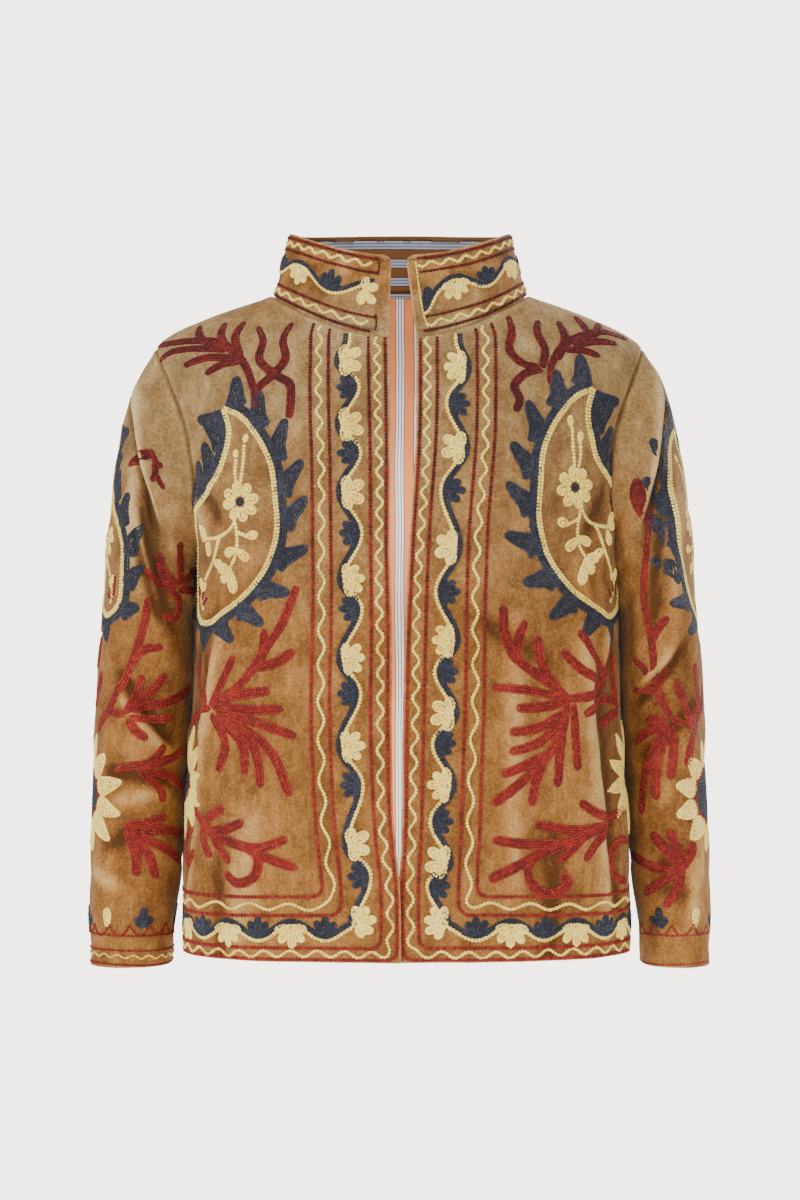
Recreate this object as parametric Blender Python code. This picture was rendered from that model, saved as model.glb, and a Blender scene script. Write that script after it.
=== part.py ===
"""An embroidered velvet jacket with a stand collar, in its worn form.

Run it with: blender --background --python part.py
Metres, +Z up, the front faces -Y. The origin lies midway between the two neck points.
"""

import bmesh
import bpy
import numpy as np

# Cloth
VELVET = 0.002
COTTON = 0.001
SEAM_GAP = 0.0003  # between two pieces at a seam, and between velvet and lining
FORWARD_LAP = 0.0036  # how far the left front's edge lies before the right one's, low down
LAP_REACH = 0.030
LAP_TOP_Z = -0.500
LAP_FULL_Z = -0.545

# Level rings of the body from hem to neck. Each ring drops or rises between its front,
# its sides and its back, and its outline is a rounded box of the given squareness.
RING_COLUMNS = (
    "front_z", "side_z", "back_z", "half_width", "front_depth", "back_depth", "squareness"
)
BODY_RINGS = {
    "hem": (-0.616, -0.616, -0.616, 0.2050, 0.119, 0.112, 2.6),
    "hip": (-0.555, -0.555, -0.555, 0.2060, 0.121, 0.113, 2.6),
    "waist": (-0.450, -0.450, -0.450, 0.2005, 0.122, 0.111, 2.6),
    "ribs": (-0.350, -0.350, -0.350, 0.1965, 0.123, 0.113, 2.6),
    "armpit": (-0.258, -0.250, -0.246, 0.1940, 0.122, 0.117, 2.6),
    "chest": (-0.190, -0.160, -0.160, 0.2050, 0.119, 0.117, 2.5),
    "breast": (-0.148, -0.104, -0.112, 0.2170, 0.115, 0.113, 2.3),
    "deltoid": (-0.126, -0.071, -0.085, 0.2255, 0.110, 0.106, 2.1),
    "shoulder": (-0.108, -0.046, -0.064, 0.2285, 0.105, 0.100, 1.92),
    "shoulder top": (-0.097, -0.0345, -0.050, 0.2150, 0.102, 0.095, 1.88),
    "slope": (-0.081, -0.0205, -0.033, 0.1865, 0.097, 0.087, 1.9),
    "yoke": (-0.060, -0.008, -0.010, 0.1520, 0.092, 0.076, 2.0),
    "neck": (-0.041, 0.003, 0.009, 0.1195, 0.086, 0.063, 2.1),
}

# Front edges, as the distance right of the middle at each height
EDGE_COLUMNS = ("z", "left_x", "right_x")
FRONT_EDGES = {
    "hem": (-0.616, 0.0006, -0.0006),
    "lap": (-0.543, -0.0009, -0.0005),
    "hip": (-0.505, -0.0050, 0.0018),
    "waist": (-0.413, -0.0080, 0.0028),
    "ribs": (-0.322, -0.0078, 0.0046),
    "chest": (-0.230, -0.0097, 0.0092),
    "breast": (-0.138, -0.0093, 0.0147),
    "neck": (-0.041, -0.0106, 0.0156),
}

# Armhole: how far its front and back bite into the body, in degrees round the body
FRONT_BITE = 27.0
BACK_BITE = 24.0

# Level rings of the right sleeve under its armhole, from the arm's outer side to its inner side
SLEEVE_COLUMNS = ("outer_x", "outer_z", "inner_x", "inner_z", "centre_y", "half_depth")
SLEEVE_RINGS = {
    "cap": (0.2500, -0.076, 0.1965, -0.258, 0.005, 0.068),
    "upper": (0.2640, -0.133, 0.1985, -0.273, 0.007, 0.070),
    "biceps": (0.2755, -0.205, 0.2000, -0.300, 0.009, 0.072),
    "low_biceps": (0.2820, -0.285, 0.2015, -0.350, 0.012, 0.069),
    "elbow": (0.2880, -0.361, 0.2035, -0.405, 0.015, 0.063),
    "forearm": (0.2915, -0.437, 0.2065, -0.463, 0.013, 0.057),
    "low_forearm": (0.2935, -0.513, 0.2110, -0.525, 0.009, 0.051),
    "wrist": (0.2945, -0.589, 0.2155, -0.592, 0.005, 0.046),
    "cuff": (0.2940, -0.630, 0.2170, -0.629, 0.003, 0.044),
}
SLEEVE_SQUARENESS = 2.2

# Stand collar: its top rim, with the front ends at their own distances from the middle
COLLAR_TOP = {"front_z": 0.035, "side_z": 0.062, "back_z": 0.067}
COLLAR_TOP_HALF_WIDTH = 0.104
COLLAR_TOP_FRONT_DEPTH = 0.071
COLLAR_TOP_BACK_DEPTH = 0.058
COLLAR_TOP_SQUARENESS = 2.1
COLLAR_TOP_LEFT_X = -0.0085
COLLAR_TOP_RIGHT_X = 0.0055
COLLAR_BULGE = 0.0015

# Largest folds. Around is measured round the body from the middle of the front to the right
# and on to the back, and is negative on the left front. A trough has a negative depth.
AROUND_QUARTER = 0.272  # from the middle of the front or back to the side seam
FOLD_COLUMNS = ("around", "z", "to_around", "to_z", "width", "depth")
BODY_FOLDS = {
    "left ridge": (-0.139, -0.320, -0.181, -0.430, 0.024, 0.0040),
    "left side trough": (-0.215, -0.300, -0.205, -0.560, 0.022, -0.0045),
    "left hem ridge": (-0.090, -0.450, -0.105, -0.616, 0.026, 0.0030),
    "right ridge": (0.135, -0.330, 0.147, -0.560, 0.024, 0.0045),
    "right side trough": (0.205, -0.290, 0.190, -0.520, 0.022, -0.0045),
    "right breast trough": (0.150, -0.240, 0.100, -0.330, 0.024, -0.0035),
    "back left ridge": (0.658, -0.230, 0.633, -0.616, 0.030, 0.0050),
    "back left trough": (0.713, -0.260, 0.703, -0.540, 0.026, -0.0050),
    "back right ridge": (0.420, -0.200, 0.440, -0.600, 0.028, 0.0045),
    "back right trough": (0.365, -0.240, 0.370, -0.580, 0.026, -0.0045),
    "back middle trough": (0.535, -0.120, 0.530, -0.420, 0.030, -0.0040),
}

# Sleeve folds, by degrees round the arm from its outer side towards the front, and by the
# distance down from the shoulder
SLEEVE_LENGTH = 0.60
SLEEVE_FOLD_COLUMNS = ("angle", "along", "to_angle", "to_along", "width", "depth")
LEFT_SLEEVE_FOLDS = {
    "shoulder trough": (45.0, 0.075, 110.0, 0.125, 0.028, -0.0040),
    "elbow trough": (60.0, 0.340, 130.0, 0.300, 0.026, -0.0040),
    "elbow ridge": (30.0, 0.395, 120.0, 0.360, 0.026, 0.0025),
    "forearm trough": (40.0, 0.465, 120.0, 0.445, 0.026, -0.0030),
    "back elbow trough": (250.0, 0.340, 310.0, 0.375, 0.028, -0.0040),
    "back ridge": (245.0, 0.170, 290.0, 0.270, 0.030, 0.0030),
}
RIGHT_SLEEVE_FOLDS = {
    "shoulder trough": (20.0, 0.070, 100.0, 0.115, 0.028, -0.0040),
    "long ridge": (75.0, 0.140, 95.0, 0.260, 0.026, 0.0030),
    "elbow trough": (50.0, 0.310, 125.0, 0.330, 0.026, -0.0040),
    "forearm trough": (50.0, 0.440, 130.0, 0.470, 0.026, -0.0030),
    "back elbow trough": (245.0, 0.365, 315.0, 0.340, 0.028, -0.0040),
    "back ridge": (250.0, 0.270, 285.0, 0.180, 0.030, 0.0030),
}

# Rows and columns of the panels' faces
SIDE_ROWS = 10
ARMHOLE_ROWS = 11
SHOULDER_ROWS = 5
FRONT_COLUMNS = 11
HALF_BACK_COLUMNS = 11
SLEEVE_ROWS = 17
COLLAR_ROWS = 3

VELVET_LOOK = {"color": (0.36, 0.20, 0.085), "roughness": 0.85}
COTTON_LOOK = {"color": (0.62, 0.30, 0.15), "roughness": 0.9}

ARM_RADIUS = 0.060  # turns degrees round the arm into a distance for the folds' widths
NO_FOLDS = 0.050  # the folds die out over this distance from the neck and armhole seams
RUNS_ON = (0.2, 0.6)  # two walls whose directions agree more than this share one direction

RIGHT = 1.0
LEFT = -1.0
SMALL = 1e-4  # the step that slopes are measured over


def column(table, columns, name):
    return np.array([row[columns.index(name)] for row in table.values()])


def smooth(knots, values, at):
    """A smooth curve through the values, a row for each knot."""
    step = np.diff(knots)[:, None]
    rows = values.reshape(len(knots), -1)
    slope = np.diff(rows, axis=0) / step
    middle = (slope[:-1] * step[1:] + slope[1:] * step[:-1]) / (step[:-1] + step[1:])
    tangent = np.vstack([slope[:1], middle, slope[-1:]])
    at = np.clip(np.asarray(at, float), knots[0], knots[-1])
    k = np.clip(np.searchsorted(knots, at, side="right") - 1, 0, len(knots) - 2)
    t = ((at - knots[k]) / step[k, 0])[..., None]
    rise = step[k] * (tangent[k] * t * (1 - t) ** 2 - tangent[k + 1] * t**2 * (1 - t))
    found = rows[k] + (rows[k + 1] - rows[k]) * t**2 * (3 - 2 * t) + rise
    return found.reshape(at.shape + values.shape[1:])


def ramp(x, start, end):
    t = np.clip((x - start) / (end - start), 0.0, 1.0)
    return t * t * (3 - 2 * t)


def along_line(points):
    """The distance of each point of a line from its first one."""
    steps = np.linalg.norm(np.diff(points, axis=0), axis=1)
    return np.concatenate([[0.0], np.cumsum(steps)])


def fold_height(table, columns, across, along):
    """How far the folds of a table raise or sink the cloth there."""
    height = np.zeros(np.broadcast(across, along).shape)
    for row in table.values():
        a, b, to_a, to_b, width, depth = (row[columns.index(name)] for name in columns)
        run = np.array([to_a - a, to_b - b])
        t = ((across - a) * run[0] + (along - b) * run[1]) / (run @ run)
        near = np.clip(t, 0, 1)
        off = np.hypot(across - a - near * run[0], along - b - near * run[1])
        height += depth * np.exp(-((off / width) ** 2)) * (1 - 0.5 * np.abs(2 * near - 1) ** 3)
    return height


LEVELS = along_line(
    np.stack([column(BODY_RINGS, RING_COLUMNS, n) for n in ("side_z", "half_width")], axis=1)
)
LEVEL_OF = dict(zip(BODY_RINGS, LEVELS, strict=True))


def ring_value(name, level):
    return smooth(LEVELS, column(BODY_RINGS, RING_COLUMNS, name), level)


def rounded_box(turn, squareness):
    """The point of a unit rounded box in the direction of turn, which is 0 at the front."""
    across, ahead = np.sin(turn), np.cos(turn)
    reach = (np.abs(across) ** squareness + np.abs(ahead) ** squareness) ** (-1 / squareness)
    return reach * across, reach * ahead


def body_form(turn, level):
    """The body's outer surface without folds."""
    across, ahead = rounded_box(turn, ring_value("squareness", level))
    front, back = ring_value("front_depth", level), ring_value("back_depth", level)
    side_z = ring_value("side_z", level)
    end_z = np.where(ahead > 0, ring_value("front_z", level), ring_value("back_z", level))
    x = ring_value("half_width", level) * across
    y = -np.where(ahead > 0, front, back) * ahead
    return np.stack([x, y, side_z + (end_z - side_z) * np.cos(turn) ** 2], axis=-1)


def normals(surface, u, v):
    """The unit normals of a body surface at these turns and levels, from its slopes."""
    v = np.clip(v, LEVELS[0] + SMALL, LEVELS[-1] - SMALL)
    du = surface(u + SMALL, v) - surface(u - SMALL, v)
    dv = surface(u, v + SMALL) - surface(u, v - SMALL)
    n = np.cross(du, dv)
    return n / np.linalg.norm(n, axis=-1, keepdims=True)


def body(turn, level):
    """The body's outer surface with its folds."""
    point = body_form(turn, level)
    around = np.where(turn > 1.5 * np.pi, turn - 2 * np.pi, turn) / (np.pi / 2) * AROUND_QUARTER
    height = fold_height(BODY_FOLDS, FOLD_COLUMNS, around, point[..., 2])
    height = height * ramp(LEVELS[-1] - level, 0.0, NO_FOLDS)
    return point + height[..., None] * normals(body_form, turn, level)


def armhole(angle, side):
    """Turn and level of the armhole's seam, by the degrees from its top towards the front."""
    angle = np.radians(angle)
    bite = np.where(np.sin(angle) > 0, FRONT_BITE, BACK_BITE)
    bite = np.radians(bite * np.abs(np.sin(angle)) ** 1.1)
    turn = np.pi / 2 - np.sign(np.sin(angle)) * bite
    top, bottom = LEVEL_OF["shoulder"], LEVEL_OF["armpit"]
    return side * turn, (top + bottom) / 2 + (top - bottom) / 2 * np.cos(angle)


def sleeve_lines(angle, side):
    """The points of every ring of a sleeve at these angles: rings, angles, x y z."""
    turn, level = armhole(angle, side)
    rings = [body(np.mod(turn, 2 * np.pi), level)]
    out, ahead = rounded_box(np.pi / 2 - np.radians(angle), SLEEVE_SQUARENESS)
    for row in SLEEVE_RINGS.values():
        ring = dict(zip(SLEEVE_COLUMNS, row, strict=True))
        outer = np.array([ring["outer_x"], ring["outer_z"]])
        inner = np.array([ring["inner_x"], ring["inner_z"]])
        xz = (outer + inner) / 2 + out[..., None] * (outer - inner) / 2
        y = ring["centre_y"] - ahead * ring["half_depth"]
        rings.append(np.stack([side * xz[..., 0], y, xz[..., 1]], axis=-1))
    return np.stack(rings)


def sleeve_form(angles, along, side):
    """A sleeve's outer surface without folds: a row for each distance down it."""
    outer = [BODY_RINGS["shoulder"][3], BODY_RINGS["shoulder"][1]]
    knots = along_line(np.array([outer, *[row[:2] for row in SLEEVE_RINGS.values()]]))
    lines = sleeve_lines(np.asarray(angles, float), side)
    return smooth(knots * SLEEVE_LENGTH / knots[-1], lines, along)


def sleeve_normals(angles, along, side):
    step = np.degrees(SMALL)
    round_it = sleeve_form(angles + step, along, side) - sleeve_form(angles - step, along, side)
    down_it = sleeve_form(angles, along + SMALL, side) - sleeve_form(angles, along - SMALL, side)
    n = side * np.cross(round_it, down_it)
    return n / np.linalg.norm(n, axis=-1, keepdims=True)


def sleeve(angles, along, side):
    """A sleeve's outer surface with its folds."""
    table = RIGHT_SLEEVE_FOLDS if side == RIGHT else LEFT_SLEEVE_FOLDS
    rows = {
        name: (np.radians(a) * ARM_RADIUS, b, np.radians(to_a) * ARM_RADIUS, to_b, width, depth)
        for name, (a, b, to_a, to_b, width, depth) in table.items()
    }
    across, down = np.meshgrid(np.radians(angles) * ARM_RADIUS, along)
    height = fold_height(rows, SLEEVE_FOLD_COLUMNS, across, down) * ramp(down, 0.0, NO_FOLDS)
    out = sleeve_normals(angles, along, side)
    return sleeve_form(angles, along, side) + height[..., None] * out


def running_on(own, other):
    """1 where two walls run on or make a ridge at a seam, 0 where they fold back."""
    return ramp(np.sum(own * other, axis=-1), *RUNS_ON)[..., None]


def mitred(own, other):
    """The direction that two walls share at a seam where they run on or make a ridge."""
    shared = own + other
    shared = shared / np.maximum(np.linalg.norm(shared, axis=-1, keepdims=True), SMALL)
    n = own + (shared - own) * running_on(own, other)
    return n / np.linalg.norm(n, axis=-1, keepdims=True)


def edge_turn(x, half_width, squareness):
    """The turn at which a rounded box of this half width has this x, at its front."""
    share = np.abs(x / half_width) ** squareness
    return np.sign(x) * np.arctan((share / (1 - share)) ** (1 / squareness))


def front_edge_turn(side, level):
    z = column(FRONT_EDGES, EDGE_COLUMNS, "z")
    x = column(FRONT_EDGES, EDGE_COLUMNS, "right_x" if side == RIGHT else "left_x")
    x = smooth(z, x, ring_value("front_z", level))
    return edge_turn(x, ring_value("half_width", level), ring_value("squareness", level))


def panel_rows():
    """The level of each row of a body panel, and the armhole angle or 0 at its outer edge."""
    armpit, shoulder, neck = (LEVEL_OF[name] for name in ("armpit", "shoulder", "neck"))
    angles = np.linspace(180.0, 0.0, ARMHOLE_ROWS + 1)
    side = np.linspace(0.0, armpit, SIDE_ROWS + 1)[:-1]
    slope = np.linspace(shoulder, neck, SHOULDER_ROWS + 1)[1:]
    level = np.concatenate([side, armhole(angles, RIGHT)[1], slope])
    return level, np.concatenate([0 * side, angles, 0 * slope])


def panel(side, is_back):
    """Turns, levels and inward directions of half of the body, from its middle to its side."""
    level, angle = panel_rows()
    at_armhole = (angle > 0) & (angle < 180)
    angle = 360 - angle if is_back else angle
    outer_turn = np.full(len(level), side * np.pi / 2)
    outer_turn[at_armhole] = armhole(angle[at_armhole], side)[0]
    columns = HALF_BACK_COLUMNS if is_back else FRONT_COLUMNS
    share = np.linspace(0, 1, columns + 1)
    middle = side * np.pi if is_back else front_edge_turn(side, level)
    middle = np.broadcast_to(middle, level.shape)
    turn = middle[:, None] + (outer_turn - middle)[:, None] * share
    level = np.broadcast_to(level[:, None], turn.shape)
    turn = np.mod(turn, 2 * np.pi) if is_back else turn
    points, directions = body(turn, level), normals(body, turn, level)
    seam = sleeve_normals(angle[at_armhole], np.zeros(1), side)[0]
    directions[at_armhole, -1] = mitred(directions[at_armhole, -1], seam)
    return points, directions


def parted(points, closed=False):
    """The grid with its edges drawn in by half the gap of a seam."""
    points = points.copy()
    for grid in [points] if closed else [points, points.swapaxes(0, 1)]:
        for edge, inside in ((0, 1), (-1, -2)):
            inward = grid[inside] - grid[edge]
            length = np.linalg.norm(inward, axis=-1, keepdims=True)
            grid[edge] += inward / length * SEAM_GAP / 2
    return points


def material(name, look):
    found = bpy.data.materials.new(name)
    found.use_nodes = True
    principled = found.node_tree.nodes["Principled BSDF"]
    principled.inputs["Base Color"].default_value = (*look["color"], 1)
    principled.inputs["Roughness"].default_value = look["roughness"]
    principled.inputs["Metallic"].default_value = 0.0
    return found


def wall(name, points, directions, start, thickness, look, closed=False):
    """A cloth piece: a loft of the grid and of the same grid moved in by the thickness."""
    rows, columns = points.shape[:2]
    layers = [points - directions * start, points - directions * (start + thickness)]
    work = bmesh.new()
    grids = [
        [[work.verts.new(point) for point in row] for row in layer.tolist()] for layer in layers
    ]

    def face(a, b, c, d):
        work.faces.new((a, b, c))
        work.faces.new((a, c, d))

    def next_column(j):
        return (j + 1) % columns

    last = columns if closed else columns - 1
    for grid in grids:
        for i in range(rows - 1):
            for j in range(last):
                k = next_column(j)
                face(grid[i][j], grid[i][k], grid[i + 1][k], grid[i + 1][j])
    outside, inside = grids
    for i in (0, rows - 1):
        for j in range(last):
            k = next_column(j)
            face(outside[i][j], outside[i][k], inside[i][k], inside[i][j])
    for j in () if closed else (0, columns - 1):
        for i in range(rows - 1):
            face(outside[i][j], outside[i + 1][j], inside[i + 1][j], inside[i][j])
    bmesh.ops.recalc_face_normals(work, faces=work.faces)
    mesh = bpy.data.meshes.new(name)
    work.to_mesh(mesh)
    work.free()
    mesh.materials.append(material(name + "_cloth", look))
    piece = bpy.data.objects.new(name, mesh)
    bpy.data.collections["Velvet jacket"].objects.link(piece)
    return piece


def make_fronts():
    for name, side in (("front_left", LEFT), ("front_right", RIGHT)):
        points, directions = panel(side, is_back=False)
        if side == LEFT:
            from_edge = points[:, :1, 0] - points[..., 0]
            near_edge = np.exp(-((from_edge / LAP_REACH) ** 2))
            points[..., 1] -= FORWARD_LAP * near_edge * ramp(points[..., 2], LAP_TOP_Z, LAP_FULL_Z)
        wall(name, parted(points), directions, 0.0, VELVET, VELVET_LOOK)


def make_back():
    halves = [panel(side, is_back=True) for side in (RIGHT, LEFT)]
    points, directions = (
        np.concatenate([halves[0][k][:, ::-1], halves[1][k][:, 1:]], axis=1) for k in range(2)
    )
    wall("back", parted(points), directions, 0.0, VELVET, VELVET_LOOK)
    start = VELVET + SEAM_GAP
    wall("lining_back", parted(points), directions, start, COTTON, COTTON_LOOK)


def make_sleeves():
    angles = np.arange(0.0, 360.0, 180.0 / ARMHOLE_ROWS)
    along = SLEEVE_LENGTH * np.linspace(0, 1, SLEEVE_ROWS + 1) ** 1.1
    for name, side in (("sleeve_left", LEFT), ("sleeve_right", RIGHT)):
        points = sleeve(angles, along, side)
        directions = sleeve_normals(angles, along, side)
        turn, level = armhole(angles, side)
        off_body = normals(body, np.mod(turn, 2 * np.pi), level)
        points = parted(points, closed=True)
        points[0] += off_body * SEAM_GAP * (1 - running_on(directions[0], off_body))
        directions[0] = mitred(directions[0], off_body)
        wall(name, points, directions, 0.0, VELVET, VELVET_LOOK, closed=True)


def collar_surface():
    """The collar's outer surface, from its right front end round the neck to its left one."""
    base, top = [], []
    neck = np.full(1, LEVELS[-1])
    for side in (RIGHT, LEFT):
        share = np.linspace(0, 1, FRONT_COLUMNS + 1)
        start = front_edge_turn(side, neck)
        end_x = COLLAR_TOP_RIGHT_X if side == RIGHT else COLLAR_TOP_LEFT_X
        top_start = edge_turn(end_x, COLLAR_TOP_HALF_WIDTH, COLLAR_TOP_SQUARENESS)
        front = [first + (side * np.pi / 2 - first) * share for first in (start, top_start)]
        back = side * np.pi / 2 * (1 + np.linspace(0, 1, HALF_BACK_COLUMNS + 1)[1:])
        base.append(np.concatenate([front[0], back]))
        top.append(np.concatenate([front[1], back]))
    base, top = (np.concatenate([half[0], half[1][-2::-1]]) for half in (base, top))
    low = body(np.mod(base, 2 * np.pi), np.broadcast_to(neck, base.shape))
    across, ahead = rounded_box(top, COLLAR_TOP_SQUARENESS)
    depth = np.where(ahead > 0, COLLAR_TOP_FRONT_DEPTH, COLLAR_TOP_BACK_DEPTH)
    end_z = np.where(ahead > 0, COLLAR_TOP["front_z"], COLLAR_TOP["back_z"])
    z = COLLAR_TOP["side_z"] + (end_z - COLLAR_TOP["side_z"]) * np.cos(top) ** 2
    high = np.stack([COLLAR_TOP_HALF_WIDTH * across, -depth * ahead, z], axis=-1)
    share = np.linspace(0, 1, COLLAR_ROWS + 1)[:, None, None]
    outward = np.stack([across, -ahead, 0 * across], axis=-1)
    return low + (high - low) * share + COLLAR_BULGE * np.sin(np.pi * share) * outward


def make_collar():
    points = collar_surface()
    n = np.cross(np.gradient(points, axis=1), np.gradient(points, axis=0))
    directions = n / np.linalg.norm(n, axis=-1, keepdims=True)
    wall("collar", parted(points), directions, 0.0, VELVET, VELVET_LOOK)
    start = VELVET + SEAM_GAP
    wall("lining_collar", parted(points), directions, start, COTTON, COTTON_LOOK)


def main():
    for old in list(bpy.data.objects):
        bpy.data.objects.remove(old, do_unlink=True)
    garment = bpy.data.collections.new("Velvet jacket")
    bpy.context.scene.collection.children.link(garment)
    make_fronts()
    make_back()
    make_sleeves()
    make_collar()


main()
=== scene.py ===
"""The embroidered velvet jacket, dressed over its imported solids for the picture.

Metres, +Z up, the front faces -Y. The origin lies midway between the two neck points.
Places in the needlework are written in millimetres on the cloth: first the way round from
the middle of the front (or from a sleeve's outer line towards the front), the viewer's left
being negative, then the height, which is 0 at the neck points and negative below.
"""

import bpy
import numpy as np
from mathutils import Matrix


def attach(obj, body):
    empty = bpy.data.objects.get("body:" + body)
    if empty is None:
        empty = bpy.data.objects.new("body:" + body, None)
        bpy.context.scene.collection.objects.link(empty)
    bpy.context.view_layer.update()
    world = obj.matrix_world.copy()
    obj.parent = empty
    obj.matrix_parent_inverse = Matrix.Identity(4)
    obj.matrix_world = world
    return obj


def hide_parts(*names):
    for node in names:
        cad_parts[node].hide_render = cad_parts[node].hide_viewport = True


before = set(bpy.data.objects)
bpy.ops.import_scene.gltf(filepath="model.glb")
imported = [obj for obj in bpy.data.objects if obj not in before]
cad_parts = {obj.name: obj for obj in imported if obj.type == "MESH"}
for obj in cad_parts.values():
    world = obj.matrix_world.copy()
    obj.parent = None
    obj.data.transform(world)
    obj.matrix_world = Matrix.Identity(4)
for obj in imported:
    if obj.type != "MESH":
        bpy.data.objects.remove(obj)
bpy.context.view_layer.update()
bpy.ops.object.select_all(action="DESELECT")

# The cloth's form, on the same rings and folds as the solids
VELVET = 0.002
COTTON = 0.001
SEAM_GAP = 0.0003
FORWARD_LAP = 0.0036
LAP_REACH = 0.030
LAP_TOP_Z = -0.500
LAP_FULL_Z = -0.545
RING_COLUMNS = (
    "front_z", "side_z", "back_z", "half_width", "front_depth", "back_depth", "squareness"
)
BODY_RINGS = {
    "hem": (-0.616, -0.616, -0.616, 0.2050, 0.119, 0.112, 2.6),
    "hip": (-0.555, -0.555, -0.555, 0.2060, 0.121, 0.113, 2.6),
    "waist": (-0.450, -0.450, -0.450, 0.2005, 0.122, 0.111, 2.6),
    "ribs": (-0.350, -0.350, -0.350, 0.1965, 0.123, 0.113, 2.6),
    "armpit": (-0.258, -0.250, -0.246, 0.1940, 0.122, 0.117, 2.6),
    "chest": (-0.190, -0.160, -0.160, 0.2050, 0.119, 0.117, 2.5),
    "breast": (-0.148, -0.104, -0.112, 0.2170, 0.115, 0.113, 2.3),
    "deltoid": (-0.126, -0.071, -0.085, 0.2255, 0.110, 0.106, 2.1),
    "shoulder": (-0.108, -0.046, -0.064, 0.2285, 0.105, 0.100, 1.92),
    "shoulder top": (-0.097, -0.0345, -0.050, 0.2150, 0.102, 0.095, 1.88),
    "slope": (-0.081, -0.0205, -0.033, 0.1865, 0.097, 0.087, 1.9),
    "yoke": (-0.060, -0.008, -0.010, 0.1520, 0.092, 0.076, 2.0),
    "neck": (-0.041, 0.003, 0.009, 0.1195, 0.086, 0.063, 2.1),
}
EDGE_COLUMNS = ("z", "left_x", "right_x")
FRONT_EDGES = {
    "hem": (-0.616, 0.0006, -0.0006),
    "lap": (-0.543, -0.0009, -0.0005),
    "hip": (-0.505, -0.0050, 0.0018),
    "waist": (-0.413, -0.0080, 0.0028),
    "ribs": (-0.322, -0.0078, 0.0046),
    "chest": (-0.230, -0.0097, 0.0092),
    "breast": (-0.138, -0.0093, 0.0147),
    "neck": (-0.041, -0.0106, 0.0156),
}
FRONT_BITE = 27.0
BACK_BITE = 24.0
SLEEVE_COLUMNS = ("outer_x", "outer_z", "inner_x", "inner_z", "centre_y", "half_depth")
SLEEVE_RINGS = {
    "cap": (0.2500, -0.076, 0.1965, -0.258, 0.005, 0.068),
    "upper": (0.2640, -0.133, 0.1985, -0.273, 0.007, 0.070),
    "biceps": (0.2755, -0.205, 0.2000, -0.300, 0.009, 0.072),
    "low_biceps": (0.2820, -0.285, 0.2015, -0.350, 0.012, 0.069),
    "elbow": (0.2880, -0.361, 0.2035, -0.405, 0.015, 0.063),
    "forearm": (0.2915, -0.437, 0.2065, -0.463, 0.013, 0.057),
    "low_forearm": (0.2935, -0.513, 0.2110, -0.525, 0.009, 0.051),
    "wrist": (0.2945, -0.589, 0.2155, -0.592, 0.005, 0.046),
    "cuff": (0.2940, -0.630, 0.2170, -0.629, 0.003, 0.044),
}
SLEEVE_SQUARENESS = 2.2
COLLAR_TOP = {"front_z": 0.035, "side_z": 0.062, "back_z": 0.067}
COLLAR_TOP_HALF_WIDTH = 0.104
COLLAR_TOP_FRONT_DEPTH = 0.071
COLLAR_TOP_BACK_DEPTH = 0.058
COLLAR_TOP_SQUARENESS = 2.1
COLLAR_TOP_LEFT_X = -0.0085
COLLAR_TOP_RIGHT_X = 0.0055
COLLAR_BULGE = 0.0015
COLLAR_CORNER = 0.007  # radius of the corners at the collar's front ends

# Folds of the solids, then the smaller creases, all in millimetres. The columns are the way
# round and the height of the start, the same of the end, the width and the depth
AROUND_QUARTER = 0.272
BODY_FOLDS = {
    "left ridge": (-139, -320, -181, -430, 24, 4),
    "left side trough": (-215, -300, -205, -560, 22, -4.5),
    "left hem ridge": (-90, -450, -105, -616, 26, 3),
    "right ridge": (135, -330, 147, -560, 24, 4.5),
    "right side trough": (205, -290, 190, -520, 22, -4.5),
    "right breast trough": (150, -240, 100, -330, 24, -3.5),
    "left breast slant": (-186, -165, -155, -212, 8, -3),
    "left breast slant 2": (-200, -185, -176, -235, 7, 3),
    "left waist slant": (-215, -345, -165, -300, 8, -3.4),
    "right breast slant": (186, -175, 155, -222, 8, -3),
    "right edge slant": (60, -300, 120, -345, 8, -2.6),
    "left hem crease": (-150, -520, -145, -612, 8, -3),
    "right hem crease": (120, -500, 112, -612, 9, -3),
    "back left ridge": (658, -230, 633, -616, 30, 5),
    "back left trough": (713, -260, 703, -540, 26, -5),
    "back right ridge": (420, -200, 440, -600, 28, 4.5),
    "back right trough": (365, -240, 370, -580, 26, -4.5),
    "back middle trough": (535, -120, 530, -420, 30, -4),
    "left crisp ridge": (-158, -315, -188, -450, 8, 4.6),
    "left crisp ridge low": (-190, -460, -206, -580, 8, 2.9),
    "left crisp hollow": (-172, -330, -203, -450, 10, -4.4),
    "left side crease": (-228, -200, -236, -330, 10, -3.5),
    "left chest hollow": (-100, -150, -90, -260, 22, -2.6),
    "left hip wave": (-118, -480, -128, -600, 12, 2.6),
    "right border ridge": (92, -300, 84, -560, 8, 2.9),
    "right crisp ridge": (156, -345, 170, -585, 8, 4.6),
    "right crisp hollow": (171, -350, 186, -570, 10, -4),
    "under right paisley": (150, -318, 160, -360, 9, 3.2),
    "under right paisley 2": (200, -305, 182, -350, 10, 3.5),
    "right waist slant": (215, -330, 165, -372, 9, -2.9),
    "right paisley fold": (148, -250, 160, -290, 7, 2.2),
    "back slant": (480, -330, 400, -400, 7, -2.4),
    "back slant 2": (590, -350, 660, -410, 8, -2.2),
    "back crisp ridge": (500, -250, 490, -560, 10, 3.5),
    "back crisp ridge 2": (600, -420, 590, -600, 10, 3.2),
    "back neck slant": (575, -75, 640, -150, 7, -2),
    "back neck slant 2": (505, -80, 440, -140, 8, -1.8),
}
SLEEVE_LENGTH = 0.60
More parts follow.
